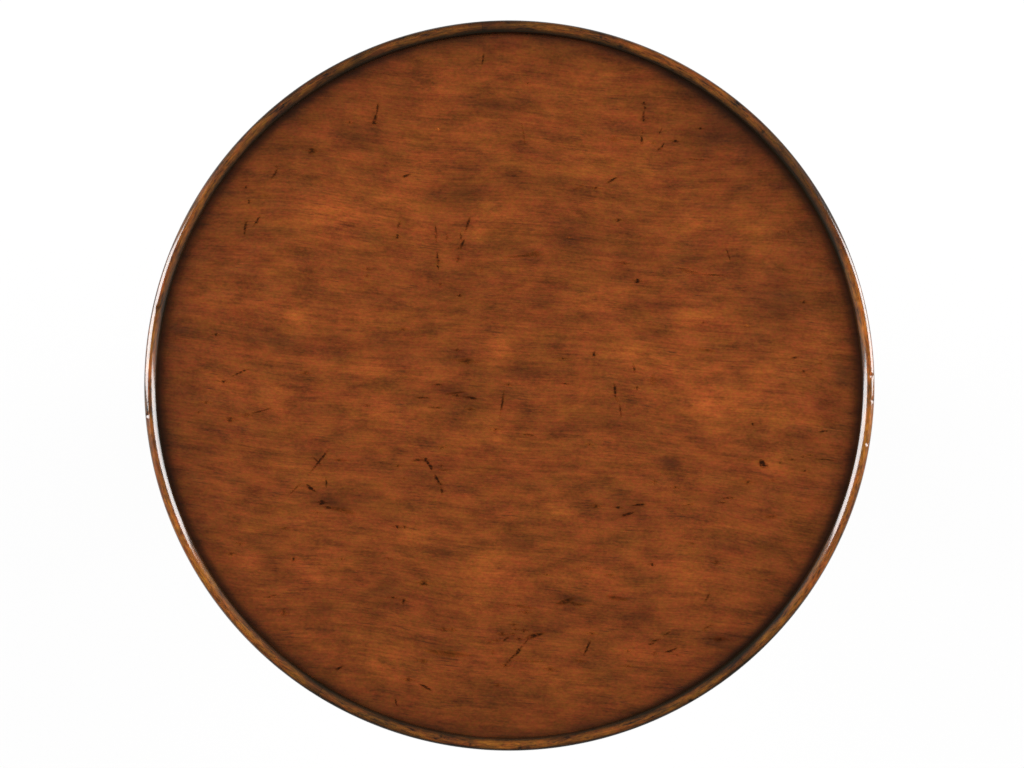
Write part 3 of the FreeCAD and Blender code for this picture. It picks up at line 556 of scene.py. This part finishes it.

# %% [markdown]
# ## Distress marks
# The maker beat the top with a chain and filled the dents with dark wax. Nothing repeats, so a pattern
# can't give them: they are placed one by one, as dashes from one pixel to another and as dots. Each is a
# small lens of wax, a hair proud of the wood. It wears the floor's own browns, with the floor's tone at
# its edge and a much darker one in its middle, so that it melts into the grain. The wax itself is a warm
# dark brown and hardly shines. A dot also bleeds along the grain, as a longer and thinner lens.

# %% Dashes read off the photograph
# x and y of both ends, width, depth of colour
dashes = [
    (378, 105, 376.6, 113, 2, 0.6), (376, 116, 374, 122, 2.4, 0.6), (276.5, 171, 272.5, 177, 2.2, 0.55),
    (259, 217.5, 255, 224.5, 2.2, 0.6), (246, 223, 244.5, 232.5, 2.2, 0.7),
    (403, 176.5, 409, 175, 2, 0.8), (399.5, 223, 398.5, 226, 2.2, 0.55),
    (435.5, 228, 436.5, 234, 1.8, 0.7), (436, 234, 436, 240, 1.6, 0.4), (447, 235, 447, 238.5, 1.6, 0.3),
    (469.5, 219, 466, 229, 2.2, 0.7), (460.5, 235, 461.5, 240, 2, 0.6), (463.5, 241, 461, 247, 2.2, 0.8),
    (437, 254, 437.5, 259, 2, 0.7), (437.5, 266, 438.5, 268, 1.8, 0.6), (482, 269, 481, 271, 1.6, 0.35),
    (510, 257, 535, 255, 2, 0.2), (643.5, 113, 643.5, 120, 1.8, 0.65),
    (641.7, 138, 641.7, 143, 2.4, 0.65), (661.5, 129, 659.5, 133, 1.6, 0.4),
    (663, 145, 661, 149, 1.8, 0.6), (661, 148, 658, 149.5, 1.6, 0.5), (608.5, 182, 616, 178, 2, 0.7),
    (577, 188.5, 582, 185.5, 1.6, 0.3), (690, 159, 705, 160, 1.2, 0.3), (634, 366, 634.5, 371, 2, 0.6),
    (614.5, 386, 615.5, 395, 2.2, 0.9), (617, 398, 617.5, 401, 1.4, 0.3), (620, 407, 621, 415, 1.6, 0.5),
    (562, 383.2, 568, 384.2, 1.4, 0.55), (435, 384.5, 441, 384.5, 1.5, 0.45),
    (503.5, 396, 500.5, 413, 1.9, 0.5), (466.5, 397, 475, 398.5, 2, 0.65),
    (448, 394, 462, 392, 1.6, 0.25), (431, 407.5, 441, 407.5, 1.4, 0.55),
    (525, 434.5, 532, 435.2, 1.8, 0.7), (441, 448, 445, 446, 1.4, 0.4), (326, 453, 313, 469, 1.9, 0.65),
    (315, 459, 320, 464, 1.6, 0.45), (337, 460, 345, 460, 2.2, 0.35), (308, 486, 313, 490, 2.8, 0.9),
    (299, 485, 292, 492, 1.6, 0.35), (326, 480, 326.5, 485, 1.8, 0.55), (326, 507.5, 331, 508, 2.4, 0.5),
    (330, 508, 350, 512, 3, 0.22), (414, 460.5, 424, 459.5, 2, 0.45), (427, 461.5, 428.5, 464, 2.4, 0.7),
    (429.5, 464.5, 431.5, 468.5, 2.4, 0.7), (440, 470, 447, 470, 1.5, 0.3),
    (435.5, 476.5, 437, 479, 2.4, 0.9), (437.8, 480.5, 439, 483, 2.2, 0.8),
    (441.5, 489, 442, 492, 2.4, 0.7), (269, 597, 275, 595, 1.6, 0.4), (761.5, 463, 764.5, 465, 5.4, 1.15),
    (635, 505, 643, 504.5, 1.8, 0.8), (624, 515.5, 631, 513, 2.4, 0.85),
    (724, 498, 733, 497.5, 1.8, 0.45), (720, 502.5, 725, 502.5, 1.6, 0.5), (686, 505, 693, 504, 1.3, 0.4),
    (768, 517, 775, 516.5, 3, 0.3), (690, 543, 694, 544, 1.6, 0.3), (337, 669, 341.5, 667, 2, 0.6),
    (422, 685, 429, 689, 2.2, 0.75), (395.5, 700.5, 396.5, 704, 1.6, 0.6), (435, 652, 462, 655, 4, 0.18),
    (507, 663, 519, 650, 1.8, 0.6), (516, 654, 519, 650, 3, 0.9), (519, 650, 529, 638, 1.3, 0.5),
    (529, 637.5, 540, 634, 3.4, 0.55), (504, 640, 508, 637.5, 2, 0.5), (517, 661, 541, 661.5, 1.2, 0.25),
    (510, 605, 533, 608, 1.5, 0.25), (589.5, 643, 587, 648, 2, 0.75), (587, 648, 585, 653, 2, 0.65),
    (667, 652, 675, 649, 1.8, 0.85), (650, 644, 653, 643.5, 1.6, 0.6), (653, 641, 659, 639.5, 1.6, 0.6),
    (665, 635, 669.5, 632, 1.6, 0.45), (706, 599.5, 709, 594.5, 2, 0.5), (705, 628, 711, 625.5, 1.8, 0.4),
    (610, 597, 622, 599, 3.5, 0.3), (561, 603, 570, 600, 4, 0.35), (572, 603, 582, 605, 2.5, 0.3),
    (606, 575, 613, 575, 1.6, 0.35), (483.5, 56, 482.5, 62, 1.8, 0.5), (234.5, 375, 247, 369.3, 1.7, 0.6),
    (792.5, 358, 798, 357, 1.8, 0.7), (820.5, 431.5, 826.5, 431, 1.6, 0.7),
    (818, 459, 832, 460, 1.2, 0.45), (683, 270, 697, 273, 2.4, 0.35), (706, 274.5, 722, 275.5, 1.4, 0.45),
    (700, 349, 712, 351, 2.4, 0.35), (255, 412.5, 268, 409, 1.5, 0.7),
    (726.7, 250, 730, 258.5, 1.5, 0.45), (522.5, 128, 524.5, 141, 1.3, 0.3),
    (418, 397.5, 427, 397.8, 1.5, 0.5), (754, 408.3, 759, 408.5, 1.3, 0.4),
]
print(len(dashes), "dashes")

# %% Dots read off the photograph
# x, y, width, height, depth of colour; a light speck has a depth below zero
dots = [
    (374, 122.5, 3.5, 3.5, 0.8), (350, 122.5, 3, 2.4, 0.4), (312, 151, 6, 5, 0.38),
    (277, 166.5, 2, 2, 0.3), (246, 187, 2, 3, 0.5), (249, 201.5, 2.4, 3.6, 0.6),
    (397.5, 236.5, 3.2, 3.4, 0.8), (265, 195.5, 2, 2, 0.25), (458.5, 248, 2, 2, 0.4),
    (438.5, 262, 2.4, 5, 0.5), (458, 259.5, 3, 5, 0.45), (535, 254, 6, 5, 0.2), (569, 237.5, 2, 2, -1.2),
    (644, 103.5, 2.4, 3, 0.6), (645, 108, 2.4, 2.4, 0.5), (643.5, 120, 2.6, 2.4, 0.8),
    (642.5, 132, 2, 3, 0.45), (675.5, 141, 3.6, 2.8, 0.75), (653, 143, 2, 2, 0.3),
    (700.5, 128.5, 3, 2, 0.5), (596, 188, 4, 2.4, 0.65), (618.5, 220, 4, 3, 0.6), (614, 139, 4, 5, 0.25),
    (594, 354, 3, 4.6, 0.9), (563, 358.5, 3.5, 2, 0.5), (457, 350, 3, 2.4, 0.4), (466, 361, 9, 5, 0.3),
    (637, 388, 2, 4, 0.6), (508.5, 385, 3, 2, 0.6), (457, 395.5, 3, 2, 0.4), (470.5, 409, 3.4, 3, 0.6),
    (439, 407.5, 3, 1.8, 0.3), (495.5, 429.5, 4.4, 3.2, 0.65), (589.5, 444.5, 3, 2.4, 0.5),
    (322, 502.5, 5, 3.6, 1.0), (317.5, 512, 4, 1.8, 0.3), (425.5, 460, 4, 3.4, 0.85),
    (441.5, 465.5, 2, 2, 0.4), (440.5, 484, 2.4, 2.4, 0.5), (398, 466, 2.6, 2.4, 0.4),
    (404, 478.5, 2, 2, 0.25), (397, 526.7, 3.4, 2.8, 1.0), (404.5, 527, 2.6, 2.2, 0.7),
    (293.5, 559.5, 3, 4.5, 0.6), (341.5, 559, 2.4, 2, 0.35), (388.5, 558.5, 3, 1.6, 0.4),
    (424, 583, 6, 5, 0.5), (403.5, 601, 3, 4, 0.55), (393, 597.5, 4, 2, 0.35), (285, 528, 3, 2, 0.3),
    (443, 447, 3, 2, 0.35), (231, 554, 4, 3, 0.3), (792, 459.5, 3, 2, 0.55), (780, 463, 2, 2, 0.55),
    (805, 471, 3, 2, 0.6), (803, 456.5, 2, 2, 0.4), (810, 455, 3, 1.4, 0.4), (746, 459.5, 3, 1.6, 0.35),
    (748, 482, 5, 4, 0.4), (773, 480.5, 2.6, 2.4, 0.4), (675.5, 487.5, 3.4, 2.2, 0.4),
    (618, 507.5, 4, 2, 0.7), (596, 506, 5, 3, 0.5), (654.5, 482, 2, 4, 0.3), (652, 564.5, 2.8, 3, 0.85),
    (716.5, 562.5, 4, 4, 0.3), (587, 568, 4, 3, 0.25), (408, 679.5, 5, 3.5, 0.4), (423, 661, 5, 3, 0.3),
    (444, 629.5, 5, 3, 0.3), (452, 629.5, 4, 3, 0.3), (505.5, 665.5, 4, 2.4, 0.55), (502, 634, 4, 3, 0.5),
    (497, 640.5, 3, 2, 0.4), (490, 642, 2, 2, 0.3), (514, 624.5, 3, 2, 0.35), (515, 629, 2.4, 2.4, 0.35),
    (524, 630.5, 3, 3, 0.5), (519, 639, 3, 2.4, 0.6), (513, 634, 2.4, 2.4, 0.3), (493, 652, 2, 4, 0.3),
    (550, 669, 5, 4, 0.35), (526, 612, 4, 3, 0.25), (498, 685, 3, 3, 0.25),
    (654.5, 653.5, 2.4, 3.6, 0.55), (677, 654.5, 3, 1.6, 0.4), (705, 630.5, 1.8, 1.8, 0.3),
    (592, 633.5, 5, 3, 0.3), (580, 661, 4, 2.4, 0.3), (628, 651, 2.4, 2, 0.35), (628, 666, 4, 2, 0.3),
    (719, 639, 8, 4, 0.22), (637.5, 281, 3.6, 4, 1.0), (459.6, 295.5, 2.4, 2.4, 0.7),
    (367.5, 269, 3, 2.4, 0.4), (403, 329, 5, 3, 0.35), (624, 263, 6, 3, 0.3), (440, 285, 2, 4, 0.4),
    (803.8, 302, 3, 3, 0.4), (803.5, 371.7, 3, 2.6, 0.8), (752.7, 424, 2.6, 2.4, 0.85),
    (703, 322.5, 2.2, 2, 0.5), (747, 325.8, 3, 2.4, -0.6), (216, 334.5, 3, 2.4, 0.6),
    (223.7, 381.7, 4, 2.6, 0.9), (206, 402.5, 4, 2.4, 0.4), (198.7, 412.5, 2.4, 2, 0.35),
    (230, 419.5, 5, 5, 0.5), (246, 415, 4, 3, 0.4), (305, 373, 5, 3, 0.4), (653, 380, 4, 8, 0.25),
    (438.3, 129.3, 2, 2, -1.6), (366.7, 276, 3, 2.2, 0.5), (788.5, 231.5, 2, 2, 0.35),
    (527.5, 83.5, 2, 2, 0.4), (366.7, 405, 2.2, 2, 0.4), (240, 543.5, 3, 2, 0.35), (821, 363, 2, 5, 0.35),
    (283.5, 613, 4, 5, 0.35), (547, 574.5, 2.2, 2, 0.4),
]
print(len(dots), "dots")

# %% Lenses of wax
# how much wider a lens is than its dark middle looks
mark_spread = 1.45
bleed_length = 2.4
bleed_width = 1.1
bleed_share = 1 / 3
lens_rings = 9
lens_sides = 14
lens_lift = 0.02 * MM
lens_crown = 0.05 * MM


def wax_fills():
    """Lenses of wax, all at once: mark m, ring k, angle a.

    Ring k of a mark is an ellipse of half length l and half width w, scaled by sin(k) and turned by the
    mark's slant, with an outline that wobbles. Its height is the floor's, plus a crown of cos(k): over it
    at the top, under it below. Its tone is the floor's, and its wax depth * (1 - sin(k)^2).
    """
    rows = [((x0 + x1) / 2, (y0 + y1) / 2, math.hypot(x1 - x0, y1 - y0) + width, width,
             math.atan2(y0 - y1, x1 - x0), depth) for x0, y0, x1, y1, width, depth in dashes]
    rows += [(x, y, width, height, 0.0, depth) for x, y, width, height, depth in dots]
    rows += [(x, y, bleed_length * width, bleed_width, -face_lie["turn"][2], bleed_share * depth)
             for x, y, width, height, depth in dots]
    x, y, length, width, slant, depth = np.array(rows).T[..., None, None]
    ring = np.linspace(0.15, math.pi - 0.15, lens_rings)[:, None]
    angle = np.linspace(0, 2 * math.pi, lens_sides, endpoint=False)
    wobble = 1 + 0.12 * np.sin(3 * angle + 5 * x) + 0.08 * np.sin(2 * angle + 3 * y)
    size = mark_spread * pixel_on_floor / 2 * np.sin(ring) * wobble
    along = length * size * np.cos(angle)
    beside = width * size * np.sin(angle)
    middle_x, middle_y = on_floor(x, y)
    place_x = middle_x + along * np.cos(slant) - beside * np.sin(slant)
    place_y = middle_y + along * np.sin(slant) + beside * np.cos(slant)
    height = floor_level + lens_lift + lens_crown * np.cos(ring) + 0 * along
    wax = depth * (1 - np.sin(ring) ** 2) + 0 * along
    stacks = np.stack([place_x, place_y, height], -1)
    return [part[:, ::-1] for part in (stacks, tone_at(place_x, place_y), wax)]


waxed_cherry = cherry(
    "wax_filled_cherry", ("7d3717", "743e14", "2a1206"), face_grain, toned=True, waxed=True, roughness=0.5,
    shine=0.05, **face_lie)
stacks, tone, wax = wax_fills()
marks_mesh = grid_mesh("distress_marks", stacks, tone=tone, wax=wax)
piece("distress_marks", marks_mesh, "top", "cherry_face", waxed_cherry)

# %% [markdown]
# ## The rim
# Five curved pieces, sawn from the board and butted end to end, make the rim, so the grain and the tone
# change at each joint. The solid has a perfect section; the real one was rounded by hand and has been
# knocked. We carry the section round the arc and let its roundings swell and shrink a little on the
# way, with a few nicks. The grain follows the arc through a UV map in metres.

# %% The rim's section
crown_height = 4.5 * MM
crown_power = 2.2
slope_height = 3.6 * MM
slope_power = 1.3
foot_rounding = 5 * MM
crown_points = 33
foot_points = 9
# how far the hand strayed from the section
crown_sway = 0.2
slope_sway = 0.06
foot_sway = 0.08
wall_top = rim_top - crown_height
# angle, half width, and what is added to the power of the outer rounding: it is fuller at the right
outer_rounding = [(166, 30, -0.35), (18, 35, 0.5)]
print(f"the rim stands {(rim_top - floor_level) / MM:.1f} mm over the floor")


def rim_section(angle, wave):
    """Radius and height of the section: station s along the row, section point c along the column.

    The crown is a superellipse, |x / half width|^p + |z / crown|^p = 1, between the two walls. Its inner
    half is lower, with a smaller p, which makes a long easy slope, and its outer half is rounder. p swells
    and shrinks with the wave, as a hand scraper leaves it. The foot is a quarter circle. The crown's x, from
    -1 inside to 1 outside, is given too.
    """
    turn = np.linspace(math.pi, 0, crown_points)
    cosine, sine = np.cos(turn), np.sin(turn)
    inside = cosine < 0
    outer_power = crown_power + crown_sway * wave + swells(angle, outer_rounding)
    power = np.where(inside, slope_power + slope_sway * wave, outer_power)
    crown = np.where(inside, slope_height, crown_height)
    crown_x = np.sign(cosine) * np.abs(cosine) ** (2 / power)
    crown_z = np.abs(sine) ** (2 / power)
    foot = foot_rounding * (1 + foot_sway * wave)
    quarter = np.linspace(0, math.pi / 2, foot_points)
    ones = np.ones_like(angle)
    wall_low = core_high.z
    radius = np.concatenate([
        rim_inner * ones * np.ones(3),
        rim_inner + rim_width / 2 * (1 + crown_x),
        rim_radius * ones * np.ones(3),
        rim_radius - foot * (1 - np.cos(quarter)),
        core_radius * ones * np.ones(2),
    ], 1)
    height = np.concatenate([
        wall_low + (rim_top - slope_height - wall_low) * ones * np.array([0, 0.4, 0.8]),
        rim_top - crown * (1 - crown_z),
        wall_top - (wall_top - rim_foot - foot) * np.array([0.25, 0.5, 0.75]),
        rim_foot + foot * (1 - np.sin(quarter)),
        rim_foot + (core_high.z - rim_foot) * ones * np.array([0, 1]),
    ], 1)
    return radius, height, crown_x


# %% The rim's tone
rim_tones = [-0.12, -0.06, -0.1, -0.04, -0.1]
# angle and half width in degrees of the lighter and darker stretches, and their strength; the strongest
# lighter ones, at the left and right where the lamps glint, are painted highlight
rim_stretches_and_highlights = [
    (9, 11, 0.75), (36, 10, -0.25), (62, 9, 0.2), (90, 8, -0.15), (118, 12, -0.25), (148, 9, 0.3),
    (176, 10, 0.5), (207, 12, 0.6), (222, 12, 0.3), (240, 10, -0.1), (270, 10, 0.05), (306, 9, -0.12),
    (330, 11, 0.6), (351, 9, 0.6),
]
# angle, half width, and how much darker the rim is there: on the outer flank, most at the bottom, which
# faces away from the lamps and so is partly painted shade over glaze; and on the inner slope
deep_flank = [(270, 45, 1.7), (90, 40, 0.2), (318, 20, 0.9), (135, 20, 0.7)]
deep_slope = [(314, 16, 0.4)]
# the inner wall by the floor is dark: partly glaze, partly painted shade in the corner
wall_glaze_and_shade = 1.0
inner_glaze = 0.85
outer_glaze = 0.6
joint_depth = 0.24
joint_glaze = 24 * MM
end_depth = 0.4
end_ease = 0.4 * MM
print(len(rim_stretches_and_highlights), "stretches of tone")


def rim_tone(number, angle, to_joint, wave, crown_x):
    """Tone of the section's points: the piece's own, the stretches', partly painted highlight,
    and the glaze's, partly painted shade.

    A stretch counts 1.3 - 0.8 x^2 over the crown and half on the walls. Glaze gathers as x^2 on the inner
    flank, as x^2.5 on the outer one, and towards a joint as exp(-(distance / width)^2). The piece's very
    end is darker still.
    """
    ones = np.ones_like(angle)
    below = foot_points + 2
    crown_share = np.concatenate([
        0.5 * ones * np.ones(3), 1.3 - 0.8 * crown_x ** 2, 0.5 * ones * np.ones(3 + below)], 1)
    # the stretches include painted highlight at the left and right, strongest over the crown's middle
    tone = rim_tones[number] + swells(angle, rim_stretches_and_highlights) * crown_share + 0.08 * wave
    tone = tone - joint_depth * np.exp(-(to_joint / joint_glaze) ** 2) - end_depth * (to_joint < end_ease)
    flank = outer_glaze * (1 + swells(angle, deep_flank))
    slope = inner_glaze * (1 + swells(angle, deep_slope))
    # the inner wall's glaze and the bottom flank's extra darkness are partly painted shade
    return tone - np.concatenate([
        wall_glaze_and_shade * ones * np.array([1, 0.9, 0.75]),
        slope * np.clip(-crown_x, 0, 1) ** 2 + flank * np.clip(crown_x, 0, 1) ** 2.5,
        outer_glaze * ones * np.array([0.4, 0.1, 0]),
        outer_glaze * ones * np.linspace(0, 0.5, below),
    ], 1)


# %% Nicks in the rim
# place on the arc as a photograph pixel, depth and length in mm, how far across the top from the inside
nicks = [
    (869, 376, 0.7, 1.6, 0.7), (871, 400, 0.6, 1.6, 0.9), (865, 443, 0.7, 1.6, 0.7),
    (147, 415, 0.6, 1.6, 0.8), (161, 308, 0.6, 1.8, 0.5), (440, 742, 0.5, 1.6, 0.3),
    (470, 744, 0.4, 1.6, 0.6), (520, 745, 0.5, 1.8, 0.7), (600, 40, 0.4, 1.6, 0.5),
    (760, 135, 0.4, 1.6, 0.4), (220, 600, 0.5, 1.6, 0.6), (690, 700, 0.5, 1.8, 0.8),
    (860, 300, 0.4, 1.6, 0.4),
]
nick_glaze = 0.6
print(len(nicks), "nicks")


def nicked(angle, radius, height, tone):
    """Height and tone after the knocks: a nick sinks a point by depth * exp(-(distance / length)^2)."""
    for x, y, depth, length, across in nicks:
        place = math.atan2(circle_centre[1] - y, x - circle_centre[0])
        around = (angle - place + math.pi) % (2 * math.pi) - math.pi
        away = (around * rim_radius) ** 2 + (radius - rim_inner - across * rim_width) ** 2
        dent = np.exp(-away / (length * MM) ** 2) * (height > wall_top)
        height = height - depth * MM * dent
        tone = tone - nick_glaze * dent
    return height, tone


# %% Rim pieces
first_joint = math.radians(22.3)
stations = 318


def rim_arc(number):
    """The section carried along one piece's arc, with its tone and its angles.

    The stations stand closer at both ends, where the arris is. Two sines make the slow wave.
    """
    sweep = 2 * math.pi / len(rim_names)
    ease = end_ease / rim_radius
    between = np.linspace(2 * ease, sweep - 2 * ease, stations)
    steps = np.concatenate([[0, ease], between, [sweep - ease, sweep]])[:, None]
    angle = first_joint + sweep * number + steps
    wave = np.sin(9 * angle + number) * 0.6 + np.sin(23 * angle + 2 * number) * 0.4
    to_joint = np.minimum(steps, sweep - steps) * rim_radius
    radius, height, crown_x = rim_section(angle, wave)
    tone = rim_tone(number, angle, to_joint, wave, crown_x)
    height, tone = nicked(angle, radius, height, tone)
    points = np.stack([radius * np.cos(angle), radius * np.sin(angle), height], -1)
    return points, tone, angle


def rim_uv(points, angle):
    """Distance along the arc, and distance round the section, both in metres."""
    step = np.linalg.norm(np.diff(points, axis=1, append=points[:, :1]), axis=2)
    round_section = np.concatenate([np.zeros((len(points), 1)), np.cumsum(step, 1)], 1)
    along = np.broadcast_to(angle * rim_radius, round_section.shape)
    return np.stack([along, round_section], -1)


rim_cherry = cherry(
    "stained_cherry_rim", ("6e350e", "6e440e", "1e180c"), rim_grain, along_uv=True, toned=True, relief=0.03,
    roughness=0.4, shine=0.2, coat=1.0)
for number, name in enumerate(rim_names):
    points, tone, angle = rim_arc(number)
    mesh = grid_mesh(name + "_worn", points, uv=rim_uv(points, angle), tone=tone)
    piece(name + "_worn", mesh, "top", "cherry_rim", rim_cherry, name)

# %% [markdown]
# ## The frame below
# Pillar, cage, battens and legs keep their solids. Each only needs its grain laid the way it was sawn:
# up the pillar and the balusters, along the battens, across the plates, and down the slant of each leg.

# %% Timber of the frame
def dress(material, *names):
    """Put one finish on the solids with these names."""
    for name in names:
        slots = nodes[name].data.materials
        slots.clear()
        slots.append(material)
    print(material.name, "on", len(names))


frame_browns = ("743415", "6e3c10", "1c130a")
# the frame's pieces get painted shade in their hollows, partly glaze, and edges rubbed lighter
frame_finish = {"aged": True, "roughness": 0.42, "shine": 0.2, "coat": 0.4}
upright = (0, math.pi / 2, 0)
balusters = [f"cage_baluster_{number}" for number in range(1, 5)]
dress(cherry("cherry_upright", frame_browns, frame_grain, turn=upright, **frame_finish),
      "pillar", *balusters)
dress(cherry("cherry_across", frame_browns, frame_grain, **frame_finish),
      "cage_top_plate", "cage_bottom_plate", "collar", "wedge", "hinge_pin_left", "hinge_pin_right")
dress(cherry("cherry_underside", frame_browns, frame_grain, roughness=0.5, shine=0.2), "underside_veneer")
dress(cherry("cherry_bearers", frame_browns, frame_grain, turn=(0, 0, math.pi / 2), **frame_finish),
      "batten_left", "batten_right")

# %% Timber of the legs
leg_slope = math.radians(30)
for number in range(3):
    aim = math.radians(120 * number - 90)
    name = f"leg_{number + 1}"
    sawn = (0, -leg_slope, -aim)
    dress(cherry(f"cherry_{name}", frame_browns, frame_grain, turn=sawn, **frame_finish), name)

# %% [markdown]
# ## Core, brass, iron and steel
# The tray's core and its dowels are raw pale wood. The catch is brass that has gone dull and brown in
# spots. The plate under the legs is blackened iron, a little rough from the forge, and the screws are
# plain steel.

# %% Metals and raw wood
grit_relief = 0.15
grit_height = 0.1 * MM


def metal(name, bright, dull, grit_mm, roughness):
    """A metal with a fine bump, and tarnish in spots so many millimetres wide, where it is rougher."""
    material, tree, output = new_material(name)
    where = add(tree, "ShaderNodeTexCoord").outputs["Object"]
    spots = add(tree, "ShaderNodeTexNoise", {
        "Vector": where, "Scale": 1 / (grit_mm * MM), "Detail": 5.0}).outputs["Fac"]
    colour = add(tree, "ShaderNodeMixRGB", {"Fac": spots, "Color1": linear(bright), "Color2": linear(dull)})
    gloss = add(tree, "ShaderNodeMapRange", {
        "Value": spots, **noise_span, "To Min": roughness - 0.08, "To Max": roughness + 0.12})
    bump = add(tree, "ShaderNodeBump", {"Height": spots, "Strength": grit_relief, "Distance": grit_height})
    skin = add(tree, "ShaderNodeBsdfPrincipled", {
        "Base Color": colour.outputs["Color"], "Roughness": gloss.outputs["Result"],
        "Normal": bump.outputs["Normal"], "Metallic": 1.0})
    tree.links.new(skin.outputs["BSDF"], output.inputs["Surface"])
    return material


dress(metal("aged_brass", "b8924f", "7a5a2b", 4.0, 0.32), "catch_case", "catch_spring", "catch_screws",
      "catch_bolt", "catch_knob", "catch_keeper", "keeper_screws")
dress(metal("blackened_iron", "2c2a29", "1a1918", 2.5, 0.55), "spider_plate")
dress(metal("screw_steel", "8d8983", "5c5650", 2.0, 0.38), "batten_screws", "spider_screws")
raw_core = cherry("raw_core", ("b89a6e", "ad8f63", "80664a"), frame_grain, roughness=0.6)
dress(raw_core, "tray_core", "rim_dowels")

# %% [markdown]
# ## Light and floor
# In the photograph the rim glints at the left and right, on both roundings, and not at the top and
# bottom. So the light is two tall soft boxes, one at either side and a little above the middle.
# The ground is white paper: the camera sees it white, and it keeps a faint shadow.

# %% Soft boxes
box_distance = 3.5
box_elevation = math.radians(28)
box_width = 1.36
box_height = 3.1


def soft_box(name, azimuth, power):
    """An area light that looks at the tray from an azimuth in degrees, at the boxes' elevation."""
    light = bpy.data.lights.new(name, "AREA")
    light.shape = "RECTANGLE"
    light.size = box_width
    light.size_y = box_height
    light.energy = power
    lamp = bpy.data.objects.new(name, light)
    turn = math.radians(azimuth)
    away = box_distance * math.cos(box_elevation)
    up = box_distance * math.sin(box_elevation)
    lamp.location = (away * math.cos(turn), away * math.sin(turn), rim_top + up)
    lamp.rotation_euler = (math.pi / 2 - box_elevation, 0, turn + math.pi / 2)
    lamp.visible_camera = False
    bpy.context.scene.collection.objects.link(lamp)
    print(name, power, "W")


soft_box("right_box", 12, 164)
soft_box("left_box", 169, 158)

# %% White ground
ground_reach = 6.0
ground_level = -0.2 * MM
near_share = 0.9
white_from = 1.5
white_to = 4.5


def white_ground():
    """Paper that the camera sees white, mixed with a little matt white that takes the shadow.

    The share that is seen white grows from near_share by the table to 1 far off, so no edge shows.
    """
    material, tree, output = new_material("white_paper")
    path = add(tree, "ShaderNodeLightPath")
    seen = add(tree, "ShaderNodeMath", {
        0: path.outputs["Is Camera Ray"], 1: path.outputs["Is Glossy Ray"]}, operation="MAXIMUM")
    seen = add(tree, "ShaderNodeMath", {
        0: seen.outputs["Value"], 1: path.outputs["Is Transmission Ray"]}, operation="MAXIMUM")
    where = add(tree, "ShaderNodeTexCoord").outputs["Object"]
    away = add(tree, "ShaderNodeVectorMath", {0: where}, operation="LENGTH").outputs["Value"]
    white = add(tree, "ShaderNodeMapRange", {
        "Value": away, "From Min": white_from, "From Max": white_to, "To Min": near_share, "To Max": 1.0})
    share = add(tree, "ShaderNodeMath", {
        0: seen.outputs["Value"], 1: white.outputs["Result"]}, operation="MULTIPLY")
    matt = add(tree, "ShaderNodeBsdfDiffuse", {"Color": linear("f4f4f4")})
    glow = add(tree, "ShaderNodeEmission", {"Strength": 1.0})
    mix = add(tree, "ShaderNodeMixShader", {
        "Fac": share.outputs["Value"], 1: matt.outputs["BSDF"], 2: glow.outputs["Emission"]})
    tree.links.new(mix.outputs["Shader"], output.inputs["Surface"])
    return material


quarters = ((-1, -1), (1, -1), (1, 1), (-1, 1))
corners = [(x * ground_reach, y * ground_reach, ground_level) for x, y in quarters]
ground_mesh = bpy.data.meshes.new("ground")
ground_mesh.from_pydata(corners, [], [(0, 1, 2, 3)])
ground_mesh.materials.append(white_ground())
ground = bpy.data.objects.new("ground", ground_mesh)
bpy.context.scene.collection.objects.link(ground)
print("white ground", 2 * ground_reach, "m across")

# %% [markdown]
# The room is white to the camera. What shines sees white only in a low band round the horizon, because a
# white ceiling would lay a pale veil over the tray's floor. For all other light the room is dim.

# %% Surroundings
room_light = 0.12
# the white band ends between these heights of a unit ray
band_end = {"From Min": 0, "From Max": 0.12, "To Min": 1, "To Max": 0}
world = bpy.data.worlds.new("studio")
bpy.context.scene.world = world
world.use_nodes = True
sky = world.node_tree
sky.nodes.clear()
ray = add(sky, "ShaderNodeLightPath")
direct = add(sky, "ShaderNodeMath", {
    0: ray.outputs["Is Camera Ray"], 1: ray.outputs["Is Transmission Ray"]}, operation="MAXIMUM")
heading = add(sky, "ShaderNodeSeparateXYZ", {"Vector": add(sky, "ShaderNodeTexCoord").outputs["Generated"]})
band = add(sky, "ShaderNodeMapRange", {"Value": heading.outputs["Z"], **band_end})
mirrored = add(sky, "ShaderNodeMath", {
    0: ray.outputs["Is Glossy Ray"], 1: band.outputs["Result"]}, operation="MULTIPLY")
seen = add(sky, "ShaderNodeMath", {
    0: direct.outputs["Value"], 1: mirrored.outputs["Value"]}, operation="MAXIMUM")
level = add(sky, "ShaderNodeMapRange", {"Value": seen.outputs["Value"], "To Min": room_light, "To Max": 1.0})
backdrop = add(sky, "ShaderNodeBackground", {"Color": (1, 1, 1, 1), "Strength": level.outputs["Result"]})
add(sky, "ShaderNodeOutputWorld", {"Surface": backdrop.outputs["Background"]})
bpy.context.scene.view_settings.view_transform = "Standard"
print("room light", room_light)
